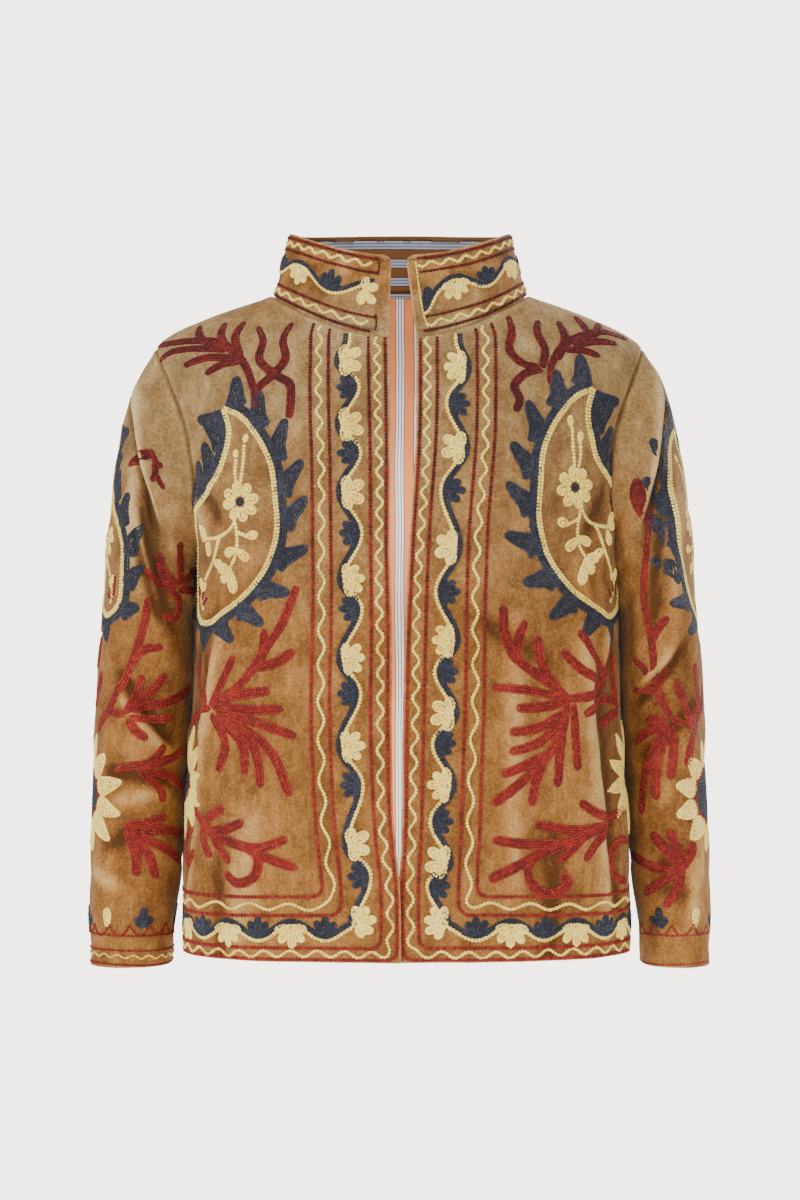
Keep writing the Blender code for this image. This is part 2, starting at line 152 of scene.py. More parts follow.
# The same on the sleeves, with degrees from the outer line and millimetres down the sleeve
LEFT_SLEEVE_FOLDS = {
    "shoulder trough": (45, 75, 110, 125, 28, -4),
    "armpit crease": (70, 110, 112, 170, 7, -3),
    "armpit ridge": (72, 130, 112, 192, 7, 2.6),
    "armpit crease 2": (76, 152, 112, 216, 7, -2.8),
    "elbow trough": (60, 340, 130, 300, 26, -4),
    "elbow ridge": (30, 395, 120, 360, 26, 2.5),
    "forearm trough": (40, 465, 120, 445, 26, -3),
    "back elbow trough": (250, 340, 310, 375, 28, -4),
    "back ridge": (245, 170, 290, 270, 30, 3),
    "shoulder crease": (30, 56, 96, 100, 9, -7),
    "shoulder crease ridge": (28, 42, 94, 84, 9, 5.5),
    "armhole hollow": (92, 110, 120, 200, 16, -6.4),
    "arm front ridge": (58, 80, 70, 190, 10, 3.2),
    "elbow crease": (70, 310, 130, 350, 8, -6.2),
    "elbow crease ridge": (64, 326, 128, 366, 8, 3.4),
    "elbow crease 2": (56, 408, 130, 400, 7, -5),
    "forearm ridge": (62, 440, 125, 415, 8, 3.5),
    "forearm crease": (50, 482, 120, 455, 7, -3.5),
    "wrist ridge": (35, 508, 80, 520, 8, 2.9),
    "back elbow crease": (235, 330, 300, 352, 8, -4.8),
    "back elbow crease 2": (240, 372, 305, 398, 8, -4.2),
    "outer crease": (330, 310, 365, 330, 8, -2.9),
    "back shoulder crease": (265, 60, 310, 40, 8, -3.8),
}
RIGHT_SLEEVE_FOLDS = {
    "shoulder trough": (20, 70, 100, 115, 28, -4),
    "long ridge": (75, 140, 95, 260, 26, 3),
    "armpit crease": (78, 124, 104, 176, 7, -2.6),
    "armpit ridge": (78, 142, 104, 196, 7, 2.2),
    "elbow trough": (50, 310, 125, 330, 26, -4),
    "forearm trough": (50, 440, 130, 470, 26, -3),
    "back elbow trough": (245, 365, 315, 340, 28, -4),
    "back ridge": (250, 270, 285, 180, 30, 3),
    "shoulder crease": (24, 40, 94, 92, 9, -6.4),
    "shoulder crease ridge": (22, 28, 92, 76, 9, 5.2),
    "paisley edge ridge": (52, 130, 84, 270, 12, 1.8),
    "armhole hollow": (84, 120, 108, 220, 14, -4.5),
    "elbow crease": (66, 284, 130, 302, 8, -5.6),
    "elbow ridge": (82, 275, 120, 285, 8, 4.2),
    "elbow crease 2": (56, 346, 130, 370, 8, -5),
    "forearm ridge": (45, 470, 70, 560, 10, 3.2),
    "forearm crease": (70, 480, 125, 500, 7, -3.2),
    "wrist crease": (60, 530, 120, 515, 8, -2.2),
    "back elbow crease": (235, 352, 300, 330, 8, -4.8),
    "back elbow crease 2": (240, 398, 305, 372, 8, -4.2),
    "outer crease": (330, 335, 368, 312, 8, -2.9),
    "back shoulder crease": (262, 70, 312, 46, 8, -3.8),
}
ARM_RADIUS = 0.060
WAIST_RADIUS = 0.17
NO_FOLDS = 0.050  # folds fade out this near the neck and the armholes
CRISP = 0.017  # folds narrower than this are creases, which get the full painted highlight and painted shade
BROAD_SHARE = 0.2  # how much broader folds count for the painted highlight and painted shade of the folds
RUNS_ON = (0.2, 0.6)
RIGHT = 1.0
LEFT = -1.0
SMALL = 1e-4
MM = 1000.0  # millimetres in a metre

# The right side of the cloth hangs a little further out than the left one
SPREAD_RIGHT = 0.012

# Uneven lie of the cloth: waves (round, down, phase, height), in waves a metre
UNEVEN = (
    (9.0, 5.0, 0.3, 0.0007), (-13.0, 8.0, 1.9, 0.0005), (21.0, -7.0, 4.1, 0.0004),
    (6.0, -17.0, 2.6, 0.0005), (31.0, 12.0, 5.2, 0.00022), (-24.0, 27.0, 0.9, 0.00022),
)
SEAM_SINKS = (0.0011, 0.0020)  # depth and width of the groove at a seam
SEAM_LIFTS = (0.0007, 0.0050, 0.0030)  # height, distance and width of the roll beside it


def column(table, columns, name):
    return np.array([row[columns.index(name)] for row in table.values()])


def smooth(knots, values, at):
    """A smooth curve through the values, a row for each knot."""
    step = np.diff(knots)[:, None]
    rows = values.reshape(len(knots), -1)
    slope = np.diff(rows, axis=0) / step
    middle = (slope[:-1] * step[1:] + slope[1:] * step[:-1]) / (step[:-1] + step[1:])
    tangent = np.vstack([slope[:1], middle, slope[-1:]])
    at = np.clip(np.asarray(at, float), knots[0], knots[-1])
    k = np.clip(np.searchsorted(knots, at, side="right") - 1, 0, len(knots) - 2)
    t = ((at - knots[k]) / step[k, 0])[..., None]
    rise = step[k] * (tangent[k] * t * (1 - t) ** 2 - tangent[k + 1] * t**2 * (1 - t))
    found = rows[k] + (rows[k + 1] - rows[k]) * t**2 * (3 - 2 * t) + rise
    return found.reshape(at.shape + values.shape[1:])


def ramp(x, start, end):
    t = np.clip((x - start) / (end - start), 0.0, 1.0)
    return t * t * (3 - 2 * t)


def along_line(points):
    """The distance of each point of a line from its first one."""
    steps = np.linalg.norm(np.diff(points, axis=0), axis=1)
    return np.concatenate([[0.0], np.cumsum(steps)])


def unit(vectors):
    return vectors / np.maximum(np.linalg.norm(vectors, axis=-1, keepdims=True), 1e-12)


def fold_height(folds, across, along, creases=False):
    """How far these folds raise or sink the cloth there, or mostly its creases, which set the painted
    highlight and shade of the folds.
    """
    height = np.zeros(np.broadcast(across, along).shape)
    for a, b, to_a, to_b, width, depth in folds:
        if creases and width > CRISP:
            depth = depth * BROAD_SHARE
        run = np.array([to_a - a, to_b - b])
        t = ((across - a) * run[0] + (along - b) * run[1]) / (run @ run)
        near = np.clip(t, 0, 1)
        off = np.hypot(across - a - near * run[0], along - b - near * run[1])
        height += depth * np.exp(-((off / width) ** 2)) * (1 - 0.5 * np.abs(2 * near - 1) ** 3)
    return height


def uneven(across, along):
    """The slight unevenness that worn velvet has all over."""
    height = 0.0
    for over, down, phase, size in UNEVEN:
        height = height + size * np.sin(2 * np.pi * (over * across + down * along) + phase)
    return height


LEVELS = along_line(
    np.stack([column(BODY_RINGS, RING_COLUMNS, n) for n in ("side_z", "half_width")], axis=1)
)
LEVEL_OF = dict(zip(BODY_RINGS, LEVELS, strict=True))


def ring_value(name, level):
    return smooth(LEVELS, column(BODY_RINGS, RING_COLUMNS, name), level)


def rounded_box(turn, squareness):
    """The point of a unit rounded box in the direction of turn, which is 0 at the front."""
    across, ahead = np.sin(turn), np.cos(turn)
    reach = (np.abs(across) ** squareness + np.abs(ahead) ** squareness) ** (-1 / squareness)
    return reach * across, reach * ahead


def body_form(turn, level):
    """The body's outer surface without folds."""
    across, ahead = rounded_box(turn, ring_value("squareness", level))
    front, back = ring_value("front_depth", level), ring_value("back_depth", level)
    side_z = ring_value("side_z", level)
    end_z = np.where(ahead > 0, ring_value("front_z", level), ring_value("back_z", level))
    spread = SPREAD_RIGHT * ramp(level, LEVEL_OF["deltoid"], LEVEL_OF["armpit"])
    x = ring_value("half_width", level) * across
    x = x + spread * np.maximum(across, 0.0) ** 3
    y = -np.where(ahead > 0, front, back) * ahead
    return np.stack([x, y, side_z + (end_z - side_z) * np.cos(turn) ** 2], axis=-1)


def normals(surface, u, v):
    """The unit normals of a body surface at these turns and levels, from its slopes."""
    v = np.clip(v, LEVELS[0] + SMALL, LEVELS[-1] - SMALL)
    du = surface(u + SMALL, v) - surface(u - SMALL, v)
    dv = surface(u, v + SMALL) - surface(u, v - SMALL)
    return unit(np.cross(du, dv))


def body_height(turn, level, z, creases=False):
    """How far the body's folds raise the cloth at these turns, levels and heights; with creases, the
    heights that set the painted highlight and painted shade of the folds.
    """
    wrapped = np.where(turn > 1.5 * np.pi, turn - 2 * np.pi, turn)
    around = wrapped / (np.pi / 2) * AROUND_QUARTER
    height = fold_height(np.array(list(BODY_FOLDS.values())) / MM, around, z, creases)
    x, y = np.sin(turn) * WAIST_RADIUS, np.cos(turn) * WAIST_RADIUS
    height = height + uneven(x, z + 0.7 * y) * (BROAD_SHARE if creases else 1.0)
    return height * ramp(LEVELS[-1] - level, 0.0, NO_FOLDS)


def body(turn, level):
    """The body's outer surface with its folds."""
    turn = np.mod(turn, 2 * np.pi)
    point = body_form(turn, level)
    height = body_height(turn, level, point[..., 2])
    return point + height[..., None] * normals(body_form, turn, level)


def armhole(angle, side):
    """Turn and level of the armhole's seam, by the degrees from its top towards the front."""
    angle = np.radians(angle)
    bite = np.where(np.sin(angle) > 0, FRONT_BITE, BACK_BITE)
    bite = np.radians(bite * np.abs(np.sin(angle)) ** 1.1)
    turn = np.pi / 2 - np.sign(np.sin(angle)) * bite
    top, bottom = LEVEL_OF["shoulder"], LEVEL_OF["armpit"]
    return side * turn, (top + bottom) / 2 + (top - bottom) / 2 * np.cos(angle)


def sleeve_lines(angle, side):
    """The points of every ring of a sleeve at these angles: rings, angles, x y z."""
    turn, level = armhole(angle, side)
    rings = [body(turn, level)]
    out, ahead = rounded_box(np.pi / 2 - np.radians(angle), SLEEVE_SQUARENESS)
    for k, row in enumerate(SLEEVE_RINGS.values()):
        ring = dict(zip(SLEEVE_COLUMNS, row, strict=True))
        spread = SPREAD_RIGHT * min(k / 2, 1.0) if side == RIGHT else 0.0
        outer = np.array([ring["outer_x"], ring["outer_z"]])
        inner = np.array([ring["inner_x"] + spread, ring["inner_z"]])
        xz = (outer + inner) / 2 + out[..., None] * (outer - inner) / 2
        y = ring["centre_y"] - ahead * ring["half_depth"]
        rings.append(np.stack([side * xz[..., 0], y, xz[..., 1]], axis=-1))
    return np.stack(rings)


def sleeve_form(angles, along, side):
    """A sleeve's outer surface without folds: a row for each distance down it."""
    outer = [BODY_RINGS["shoulder"][3], BODY_RINGS["shoulder"][1]]
    knots = along_line(np.array([outer, *[row[:2] for row in SLEEVE_RINGS.values()]]))
    lines = sleeve_lines(np.asarray(angles, float), side)
    return smooth(knots * SLEEVE_LENGTH / knots[-1], lines, along)


def sleeve_normals(angles, along, side):
    step = np.degrees(SMALL)
    round_it = sleeve_form(angles + step, along, side) - sleeve_form(angles - step, along, side)
    down_it = sleeve_form(angles, along + SMALL, side) - sleeve_form(angles, along - SMALL, side)
    return unit(side * np.cross(round_it, down_it))


def sleeve_height(angles, along, side, creases=False):
    """How far the folds raise a sleeve: rows for the distances down it, columns for angles. With creases,
    these are the heights that set the painted highlight and shade of the folds.
    """
    table = RIGHT_SLEEVE_FOLDS if side == RIGHT else LEFT_SLEEVE_FOLDS
    folds = np.array(list(table.values())) / MM
    folds[:, 0:3:2] = np.radians(folds[:, 0:3:2] * MM) * ARM_RADIUS
    around, down = np.meshgrid(np.radians(np.mod(angles, 360.0)), along)
    height = fold_height(folds, around * ARM_RADIUS, down, creases)
    waves = uneven(np.cos(around) * ARM_RADIUS, down + np.sin(around) * ARM_RADIUS)
    height += waves * (BROAD_SHARE if creases else 1.0)
    return height * ramp(down, 0.0, NO_FOLDS)


# How far the sleeves lean in to rest against the body, by height
LEAN_IN = (
    (-0.590, 0.0), (-0.560, 0.0025), (-0.540, 0.0045), (-0.510, 0.0044), (-0.480, 0.0038),
    (-0.450, 0.0028), (-0.420, 0.0032), (-0.390, 0.0042), (-0.360, 0.0052), (-0.330, 0.0058),
    (-0.300, 0.0040), (-0.272, 0.0048), (-0.255, 0.0030), (-0.240, 0.0),
)


def sleeve(angles, along, side):
    """A sleeve's outer surface with its folds."""
    height = sleeve_height(angles, along, side)
    out = sleeve_normals(angles, along, side)
    points = sleeve_form(angles, along, side) + height[..., None] * out
    heights, lean = np.array(LEAN_IN).T
    inward = np.maximum(-np.cos(np.radians(np.broadcast_to(angles, height.shape))), 0.0) ** 1.5
    points[..., 0] -= side * np.interp(points[..., 2], heights, lean) * inward
    return points


def running_on(own, other):
    """1 where two walls run on or make a ridge at a seam, 0 where they fold back."""
    return ramp(np.sum(own * other, axis=-1), *RUNS_ON)[..., None]


def mitred(own, other):
    """The direction that two walls share at a seam where they run on or make a ridge."""
    return unit(own + (unit(own + other) - own) * running_on(own, other))


def edge_turn(x, half_width, squareness):
    """The turn at which a rounded box of this half width has this x, at its front."""
    share = np.abs(x / half_width) ** squareness
    return np.sign(x) * np.arctan((share / (1 - share)) ** (1 / squareness))


def edge_x(side, z):
    """Where a front's edge runs at this height."""
    heights = column(FRONT_EDGES, EDGE_COLUMNS, "z")
    name = "right_x" if side == RIGHT else "left_x"
    return smooth(heights, column(FRONT_EDGES, EDGE_COLUMNS, name), z)


def front_edge_turn(side, level):
    x = edge_x(side, ring_value("front_z", level))
    return edge_turn(x, ring_value("half_width", level), ring_value("squareness", level))


def lapped(points, z):
    """The left front brought forward by its lap near its edge, low down."""
    from_edge = np.maximum(edge_x(LEFT, z) - points[..., 0], 0.0)
    near_edge = np.exp(-((from_edge / LAP_REACH) ** 2))
    points = points.copy()
    points[..., 1] -= FORWARD_LAP * near_edge * ramp(z, LAP_TOP_Z, LAP_FULL_Z)
    return points


FINE_SHARES = (0.0, 0.006, 0.013, 0.024, 0.038)
EVEN_FROM = 0.055  # share of a panel from which its grid is even


def spaced(count, start=True, end=True, fine=FINE_SHARES):
    """Shares from 0 to 1, closer together at the ends where a seam or an edge runs."""
    near = np.array(fine)
    middle = np.linspace(EVEN_FROM if start else 0.0, 1 - EVEN_FROM if end else 1.0, count)
    return np.concatenate([near if start else [], middle, 1 - near[::-1] if end else []])


PANEL_COLUMNS = spaced(52)
SLEEVE_ROUND = 88
SLEEVE_ROWS = np.concatenate(
    [[0.0, 0.0015, 0.003, 0.0055, 0.009], np.linspace(0.0135, SLEEVE_LENGTH, 124)]
)


def panel_rows():
    """The level of each row of a body panel, and the armhole angle or 0 at its outer edge."""
    armpit, shoulder, neck = (LEVEL_OF[name] for name in ("armpit", "shoulder", "neck"))
    angles = np.linspace(180.0, 0.0, 45)
    side = armpit * spaced(72, end=False)[:-1]
    slope = shoulder + (neck - shoulder) * spaced(19, start=False, fine=(0, 0.01, 0.025, 0.045))[1:]
    level = np.concatenate([side, armhole(angles, RIGHT)[1], slope])
    return level, np.concatenate([0 * side, angles, 0 * slope])


def seam_relief(distance):
    """The groove at a seam and the soft roll beside it."""
    sink, sink_width = SEAM_SINKS
    lift, off, lift_width = SEAM_LIFTS
    roll = lift * np.exp(-(((distance - off) / lift_width) ** 2))
    return roll - sink * np.exp(-((distance / sink_width) ** 2))


def panel(side, is_back, shares=PANEL_COLUMNS):
    """Half of the body from its middle to its side: points, inward directions, folds' heights
    and places round the cloth."""
    level, angle = panel_rows()
    at_armhole = (angle > 0) & (angle < 180)
    angle = 360 - angle if is_back else angle
    outer_turn = np.full(len(level), side * np.pi / 2)
    outer_turn[at_armhole] = armhole(angle[at_armhole], side)[0]
    middle = side * np.pi if is_back else front_edge_turn(side, level)
    middle = np.broadcast_to(middle, level.shape)
    turn = middle[:, None] + (outer_turn - middle)[:, None] * shares
    level = np.broadcast_to(level[:, None], turn.shape)
    turn = np.mod(turn, 2 * np.pi)
    points, directions = body(turn, level), normals(body, turn, level)
    seam = sleeve_normals(angle[at_armhole], np.zeros(1), side)[0]
    directions[at_armhole, -1] = mitred(directions[at_armhole, -1], seam)
    # heights that set the painted highlight and painted shade of the folds and seams
    height = body_height(turn, level, points[..., 2], creases=True)
    steps = np.linalg.norm(np.diff(points, axis=1), axis=2)
    from_middle = np.concatenate([np.zeros((len(level), 1)), np.cumsum(steps, axis=1)], axis=1)
    relief = seam_relief(from_middle[:, -1:] - from_middle)
    to_neck = np.linalg.norm(points - points[-1:], axis=2)
    relief = relief + seam_relief(to_neck)
    points = points + directions * relief[..., None]
    return points, directions, height + relief, side * from_middle


def parted(points, closed=False):
    """The grid with its edges drawn in by half the gap of a seam."""
    points = points.copy()
    for grid in [points] if closed else [points, points.swapaxes(0, 1)]:
        for edge, inside in ((0, 1), (-1, -2)):
            grid[edge] += unit(grid[inside] - grid[edge]) * SEAM_GAP / 2
    return points


def bordering(rows, columns, closed):
    """The loops of grid places along the edges, each with its neighbour further in."""
    if closed:
        return [
            ([(row, j) for j in range(columns)], [(inner, j) for j in range(columns)])
            for row, inner in ((0, 1), (rows - 1, rows - 2))
        ]
    loop = [(0, j) for j in range(columns - 1)]
    loop += [(i, columns - 1) for i in range(rows - 1)]
    loop += [(rows - 1, j) for j in range(columns - 1, 0, -1)]
    loop += [(i, 0) for i in range(rows - 1, 0, -1)]
    inner = [(min(max(i, 1), rows - 2), min(max(j, 1), columns - 2)) for i, j in loop]
    return [(loop, inner)]


PAINTED_FOLD_LIGHT_HEIGHT = 0.0034  # a crease this high gets most of the painted highlight, one this deep most of the painted shade
RIM_BULGE = 0.35  # how far a rolled edge stands out, in thicknesses


def cloth(name, node, grid, start, thickness, outside, inside, closed=False):
    """A cloth piece: its outer face, a rolled edge and its inner face, as one closed skin."""
    points, directions, height, around = grid
    rows, columns = points.shape[:2]
    layers = [points - directions * start, points - directions * (start + thickness)]
    number = np.arange(rows * columns).reshape(rows, columns)
    over = np.roll(number, -1, axis=1) if closed else number[:, 1:]
    left = number if closed else number[:, :-1]
    quads = np.stack([left[:-1], over[:-1], over[1:], left[1:]], axis=-1).reshape(-1, 4)
    count = rows * columns
    vertices = [layers[0].reshape(-1, 3), layers[1].reshape(-1, 3)]
    faces = [quads, quads[:, ::-1] + count]
    looks = [np.zeros(len(quads), int), np.ones(len(quads), int)]
    place = [number.reshape(-1), number.reshape(-1)]
    # painted highlight on raised folds and painted shade in sunk ones, from the folds' heights
    nap = (0.5 + 0.5 * np.tanh(height / PAINTED_FOLD_LIGHT_HEIGHT)).reshape(-1)
    first = 2 * count
    for loop, inner in bordering(rows, columns, closed):
        at, within = (np.array(x).T for x in (loop, inner))
        ring, deeper = number[at[0], at[1]], number[within[0], within[1]]
        middle = (vertices[0][ring] + vertices[1][ring]) / 2
        # painted highlight along the rolled edges: their tone is raised halfway towards full
        nap[ring] = 0.5 * nap[ring] + 0.5
        out = unit(vertices[0][ring] - vertices[0][deeper])
        vertices.append(middle + out * thickness * RIM_BULGE)
        rim = first + np.arange(len(ring))
        after, rim_after = np.roll(ring, -1), np.roll(rim, -1)
        upper_end = closed and loop[0][0] == 0
        for pair in ((ring, after, rim_after, rim), (rim, rim_after, after + count, ring + count)):
            strip = np.stack(pair, axis=-1)
            faces.append(strip if upper_end else strip[:, ::-1])
            looks.append(np.zeros(len(ring), int))
        place.append(ring)
        first += len(ring)
    vertices, faces, place = (np.concatenate(x) for x in (vertices, faces, place))
    looks = np.concatenate(looks)
    piece = solid(name, vertices, faces.tolist(), (outside, inside), "nap", nap[place])
    piece.data.polygons.foreach_set("material_index", looks)
    lengths = along_line(points[:, columns // 2])
    u = around.reshape(-1)[place]
    v = np.repeat(lengths, columns)[place]
    corners = np.empty(len(piece.data.loops), np.int32)
    piece.data.loops.foreach_get("vertex_index", corners)
    uv = np.stack([u[corners], v[corners]], axis=1)
    if closed:
        per_face = uv[:, 0].reshape(-1, 4)
        wrap = 2 * np.abs(around).max() + SMALL
        per_face += np.where(per_face.max(axis=1, keepdims=True) - per_face > wrap / 2, wrap, 0)
        uv[:, 0] = per_face.reshape(-1)
    piece.data.uv_layers.new(name="cloth").data.foreach_set("uv", uv.reshape(-1))
    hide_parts(node)
    return piece


def placed(name, data):
    thing = bpy.data.objects.new(name, data)
    bpy.context.scene.collection.objects.link(thing)
    return thing


def solid(name, vertices, faces, materials, measure, values):
    """A closed skin that faces outward, with a measure of its own at each point."""
    mesh = bpy.data.meshes.new(name)
    mesh.from_pydata(vertices.tolist(), [], faces)
    mesh.polygons.foreach_set("use_smooth", np.ones(len(mesh.polygons), bool))
    mesh.update()
    mesh.calc_loop_triangles()
    corner = np.empty(len(mesh.loop_triangles) * 3, np.int32)
    mesh.loop_triangles.foreach_get("vertices", corner)
    a, b, c = vertices[corner.reshape(-1, 3)].swapaxes(0, 1)
    if np.sum(a * np.cross(b, c)) < 0:
        mesh.flip_normals()
    for material in materials:
        mesh.materials.append(material)
    mesh.attributes.new(measure, "FLOAT", "POINT").data.foreach_set("value", values)
    piece = placed(name, mesh)
    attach(piece, "root")
    return piece


class Wire:
    """A socket's value that can be reckoned with."""

    def __init__(self, dye, socket):
        self.dye, self.socket = dye, socket

    def __add__(self, other):
        return self.dye.maths("ADD", self, other)

    def __sub__(self, other):
        return self.dye.maths("SUBTRACT", self, other)

    def __mul__(self, other):
        return self.dye.maths("MULTIPLY", self, other)

    def __truediv__(self, other):
        return self.dye.maths("DIVIDE", self, other)

    __radd__ = __add__


class Dye:
    """A material in the making."""

    def __init__(self, name):
        self.material = bpy.data.materials.new(name)
        self.material.use_nodes = True
        self.tree = self.material.node_tree
        self.shader = self.tree.nodes["Principled BSDF"]

    def feed(self, socket, value):
        if isinstance(value, Wire):
            self.tree.links.new(value.socket, socket)
        elif socket.type == "RGBA" and len(value) == 3:
            socket.default_value = (*value, 1.0)
        else:
            socket.default_value = value

    def node(self, kind, settings=None, inputs=(), output=0):
        """Any node: its settings first, then its sockets by place or by name."""
        made = self.tree.nodes.new(kind)
        for name, value in (settings or {}).items():
            if name == "stops":
                while len(made.color_ramp.elements) < len(value):
                    made.color_ramp.elements.new(0.5)
                for stop, (at, colour) in zip(made.color_ramp.elements, value, strict=True):
                    stop.position, stop.color = at, (*colour, 1.0)
            else:
                setattr(made, name, value)
        pairs = inputs.items() if isinstance(inputs, dict) else enumerate(inputs)
        for key, value in pairs:
            self.feed(made.inputs[key], value)
        return Wire(self, made.outputs[output])

    def maths(self, operation, *values):
        return self.node("ShaderNodeMath", {"operation": operation}, values)

    def shades(self, stops, value):
        """The colour at this value, between the colours of a ramp."""
        return self.node("ShaderNodeValToRGB", {"stops": stops}, (value,))

    def height(self):
        """The height above the neck points."""
        return self.node("ShaderNodeSeparateXYZ", {}, (self.places(),), output=2)

    def noise(self, where, scale, detail=2.0, roughness=0.5, twist=0.0):
        values = {"Vector": where, "Scale": scale, "Detail": detail, "Roughness": roughness,
                  "Distortion": twist}
        return self.node("ShaderNodeTexNoise", {}, values)

    def mix(self, share, first, second):
        """A colour between two colours."""
        values = {0: share, 6: first, 7: second}
        return self.node("ShaderNodeMix", {"data_type": "RGBA"}, values, output=2)

    def between(self, value, low, high):
        """0 below low, 1 above high, and even in between."""
        return self.node("ShaderNodeMapRange", {}, {0: value, 1: low, 2: high})

    def places(self, stretch=(1.0, 1.0, 1.0)):
        spot = self.node("ShaderNodeTexCoord", output=3)
        values = {"Vector": spot, "Scale": stretch}
        return self.node("ShaderNodeMapping", {}, values)

    def attribute(self, name):
        return self.node("ShaderNodeAttribute", {"attribute_name": name}, output=2)

    def bump(self, height, strength, distance):
        values = {"Height": height, "Strength": strength, "Distance": distance}
        return self.node("ShaderNodeBump", {}, values)

    def finish(self, **sockets):
        sockets_by_name = {one.name.lower(): one for one in self.shader.inputs}
        for name, value in sockets.items():
            self.feed(sockets_by_name[name.replace("_", " ")], value)
        return self.material


def velvet_dye():
    """Brushed velvet: golden brown with random tone, a painted highlight on fold ridges and rolled edges,
    painted shade in creases, and a paler painted highlight over the upper parts.
    """
    dye = Dye("golden_brown_velvet")
    # painted highlight on fold ridges and rolled edges, painted shade in creases
    nap = dye.attribute("nap")
    height = dye.height()
    broad = dye.noise(dye.places((1.0, 1.0, 0.55)), 10.0, 3.0, 0.5)
    brushed = dye.noise(dye.places((1.0, 1.0, 0.30)), 90.0, 4.0, 0.6)
    crushed = dye.noise(dye.places((1.0, 1.0, 0.7)), 55.0, 5.0, 0.66, twist=0.35)
    grain = dye.noise(dye.places(), 380.0, 3.0, 0.6)
    pile = dye.noise(dye.places(), 1200.0, 2.0, 0.7)
    # painted highlight: the cloth is paler towards the shoulders and less so again at the neck
    up = dye.between(height, -0.36, -0.06) - dye.between(height, -0.03, 0.012) * 0.75
    tone = 0.39 + up * 0.10 + (broad - 0.5) * 0.34 + (brushed - 0.5) * 0.46
    tone = tone + (nap - 0.5) * 1.25 + (crushed - 0.5) * 0.80 + (grain - 0.5) * 0.75
    tone = tone + (pile - 0.5) * 0.55
    stops = [(0.0, (0.074, 0.025, 0.005)), (0.32, (0.185, 0.073, 0.016)),
             (0.60, (0.325, 0.147, 0.038)), (1.0, (0.510, 0.305, 0.108))]
    golden = dye.shades(stops, tone)
    # a paler copy of the velvet, mixed in as the painted highlight of the upper parts
    stops = [(0.0, (0.080, 0.041, 0.013)), (0.35, (0.190, 0.110, 0.040)),
             (0.62, (0.310, 0.198, 0.081)), (1.0, (0.530, 0.385, 0.190))]
    beige = dye.shades(stops, tone)
    colour = dye.mix(dye.between(up + (broad - 0.5) * 0.9, 0.15, 0.95), golden, beige)
    lie = dye.bump(crushed + brushed * 0.8 + grain * 0.3, 0.45, 0.0018)
    fine = dye.node("ShaderNodeBump", {}, {"Height": pile, "Strength": 0.6,
                                           "Distance": 0.0006, "Normal": lie})
    return dye.finish(base_color=colour, roughness=0.85, sheen_weight=0.16,
                      sheen_roughness=0.35, sheen_tint=(1.0, 0.86, 0.66),
                      specular_ior_level=0.15, normal=fine)


STRIPE_REPEAT = 0.018  # one group of stripes and the plain band beside it
STRIPE_RADIUS = 0.052  # of the sleeves, as far as their lining's stripes go


def stripe_dye(name, ground, dark, grey, white, across):
    """Plain woven cotton with groups of dark, white and grey stripes."""
    dye = Dye(name)
    spot = dye.node("ShaderNodeUVMap", {"uv_map": "cloth"})
    over = dye.node("ShaderNodeSeparateXYZ", {}, (spot,), output=1 if across else 0)
    wander = (dye.noise(dye.places(), 9.0) - 0.5) * 0.0022
    share = dye.maths("FRACT", (over + wander + 0.5 * STRIPE_REPEAT) / STRIPE_REPEAT + 40.0)
    thread = [(0.0, ground), (0.235, ground), (0.245, dark), (0.275, dark), (0.285, white),
              (0.375, white), (0.385, grey), (0.435, grey), (0.445, white), (0.545, white),
              (0.555, grey), (0.605, grey), (0.615, white), (0.705, white), (0.715, dark),
              (0.745, dark), (0.755, ground)]
    colour = dye.shades(thread, share)
    weave = dye.noise(dye.places(), 1400.0, 1.0, 0.5)
    worn = dye.noise(dye.places(), 30.0, 3.0, 0.6)
    shade = dye.between((weave - 0.5) * 0.5 + (worn - 0.5) * 0.5 + 0.5, 0.0, 1.0)
    colour = dye.node("ShaderNodeMix", {"data_type": "RGBA", "blend_type": "MULTIPLY"},
                      {0: 0.55, 6: colour, 7: dye.mix(shade, (0.55, 0.55, 0.55), (1.1, 1.1, 1.1))},
                      output=2)
    lie = dye.bump(weave + worn * 1.5, 0.5, 0.0006)
    return dye.finish(base_color=colour, roughness=0.9, specular_ior_level=0.2, normal=lie)


def thread_dye(name, deep, mid, light, up_deepens=0.0):
    """Twisted wool thread: each stitch has its own shade, and the ply shows in its surface."""
    dye = Dye(name)
    strand = dye.attribute("strand")
    height = dye.height()
    ply = dye.noise(dye.places(), 1500.0, 2.0, 0.6)
    faded = dye.noise(dye.places(), 22.0, 2.0, 0.5)
    tone = strand * 0.42 + (faded - 0.5) * 0.7 + (ply - 0.5) * 0.60 + 0.29
    tone = tone - dye.between(height, -0.34, -0.10) * up_deepens
    colour = dye.shades([(0.0, deep), (0.5, mid), (1.0, light)], tone)
    lie = dye.bump(ply, 0.6, 0.0005)
    return dye.finish(base_color=colour, roughness=0.75, sheen_weight=0.05,
                      specular_ior_level=0.25, normal=lie)


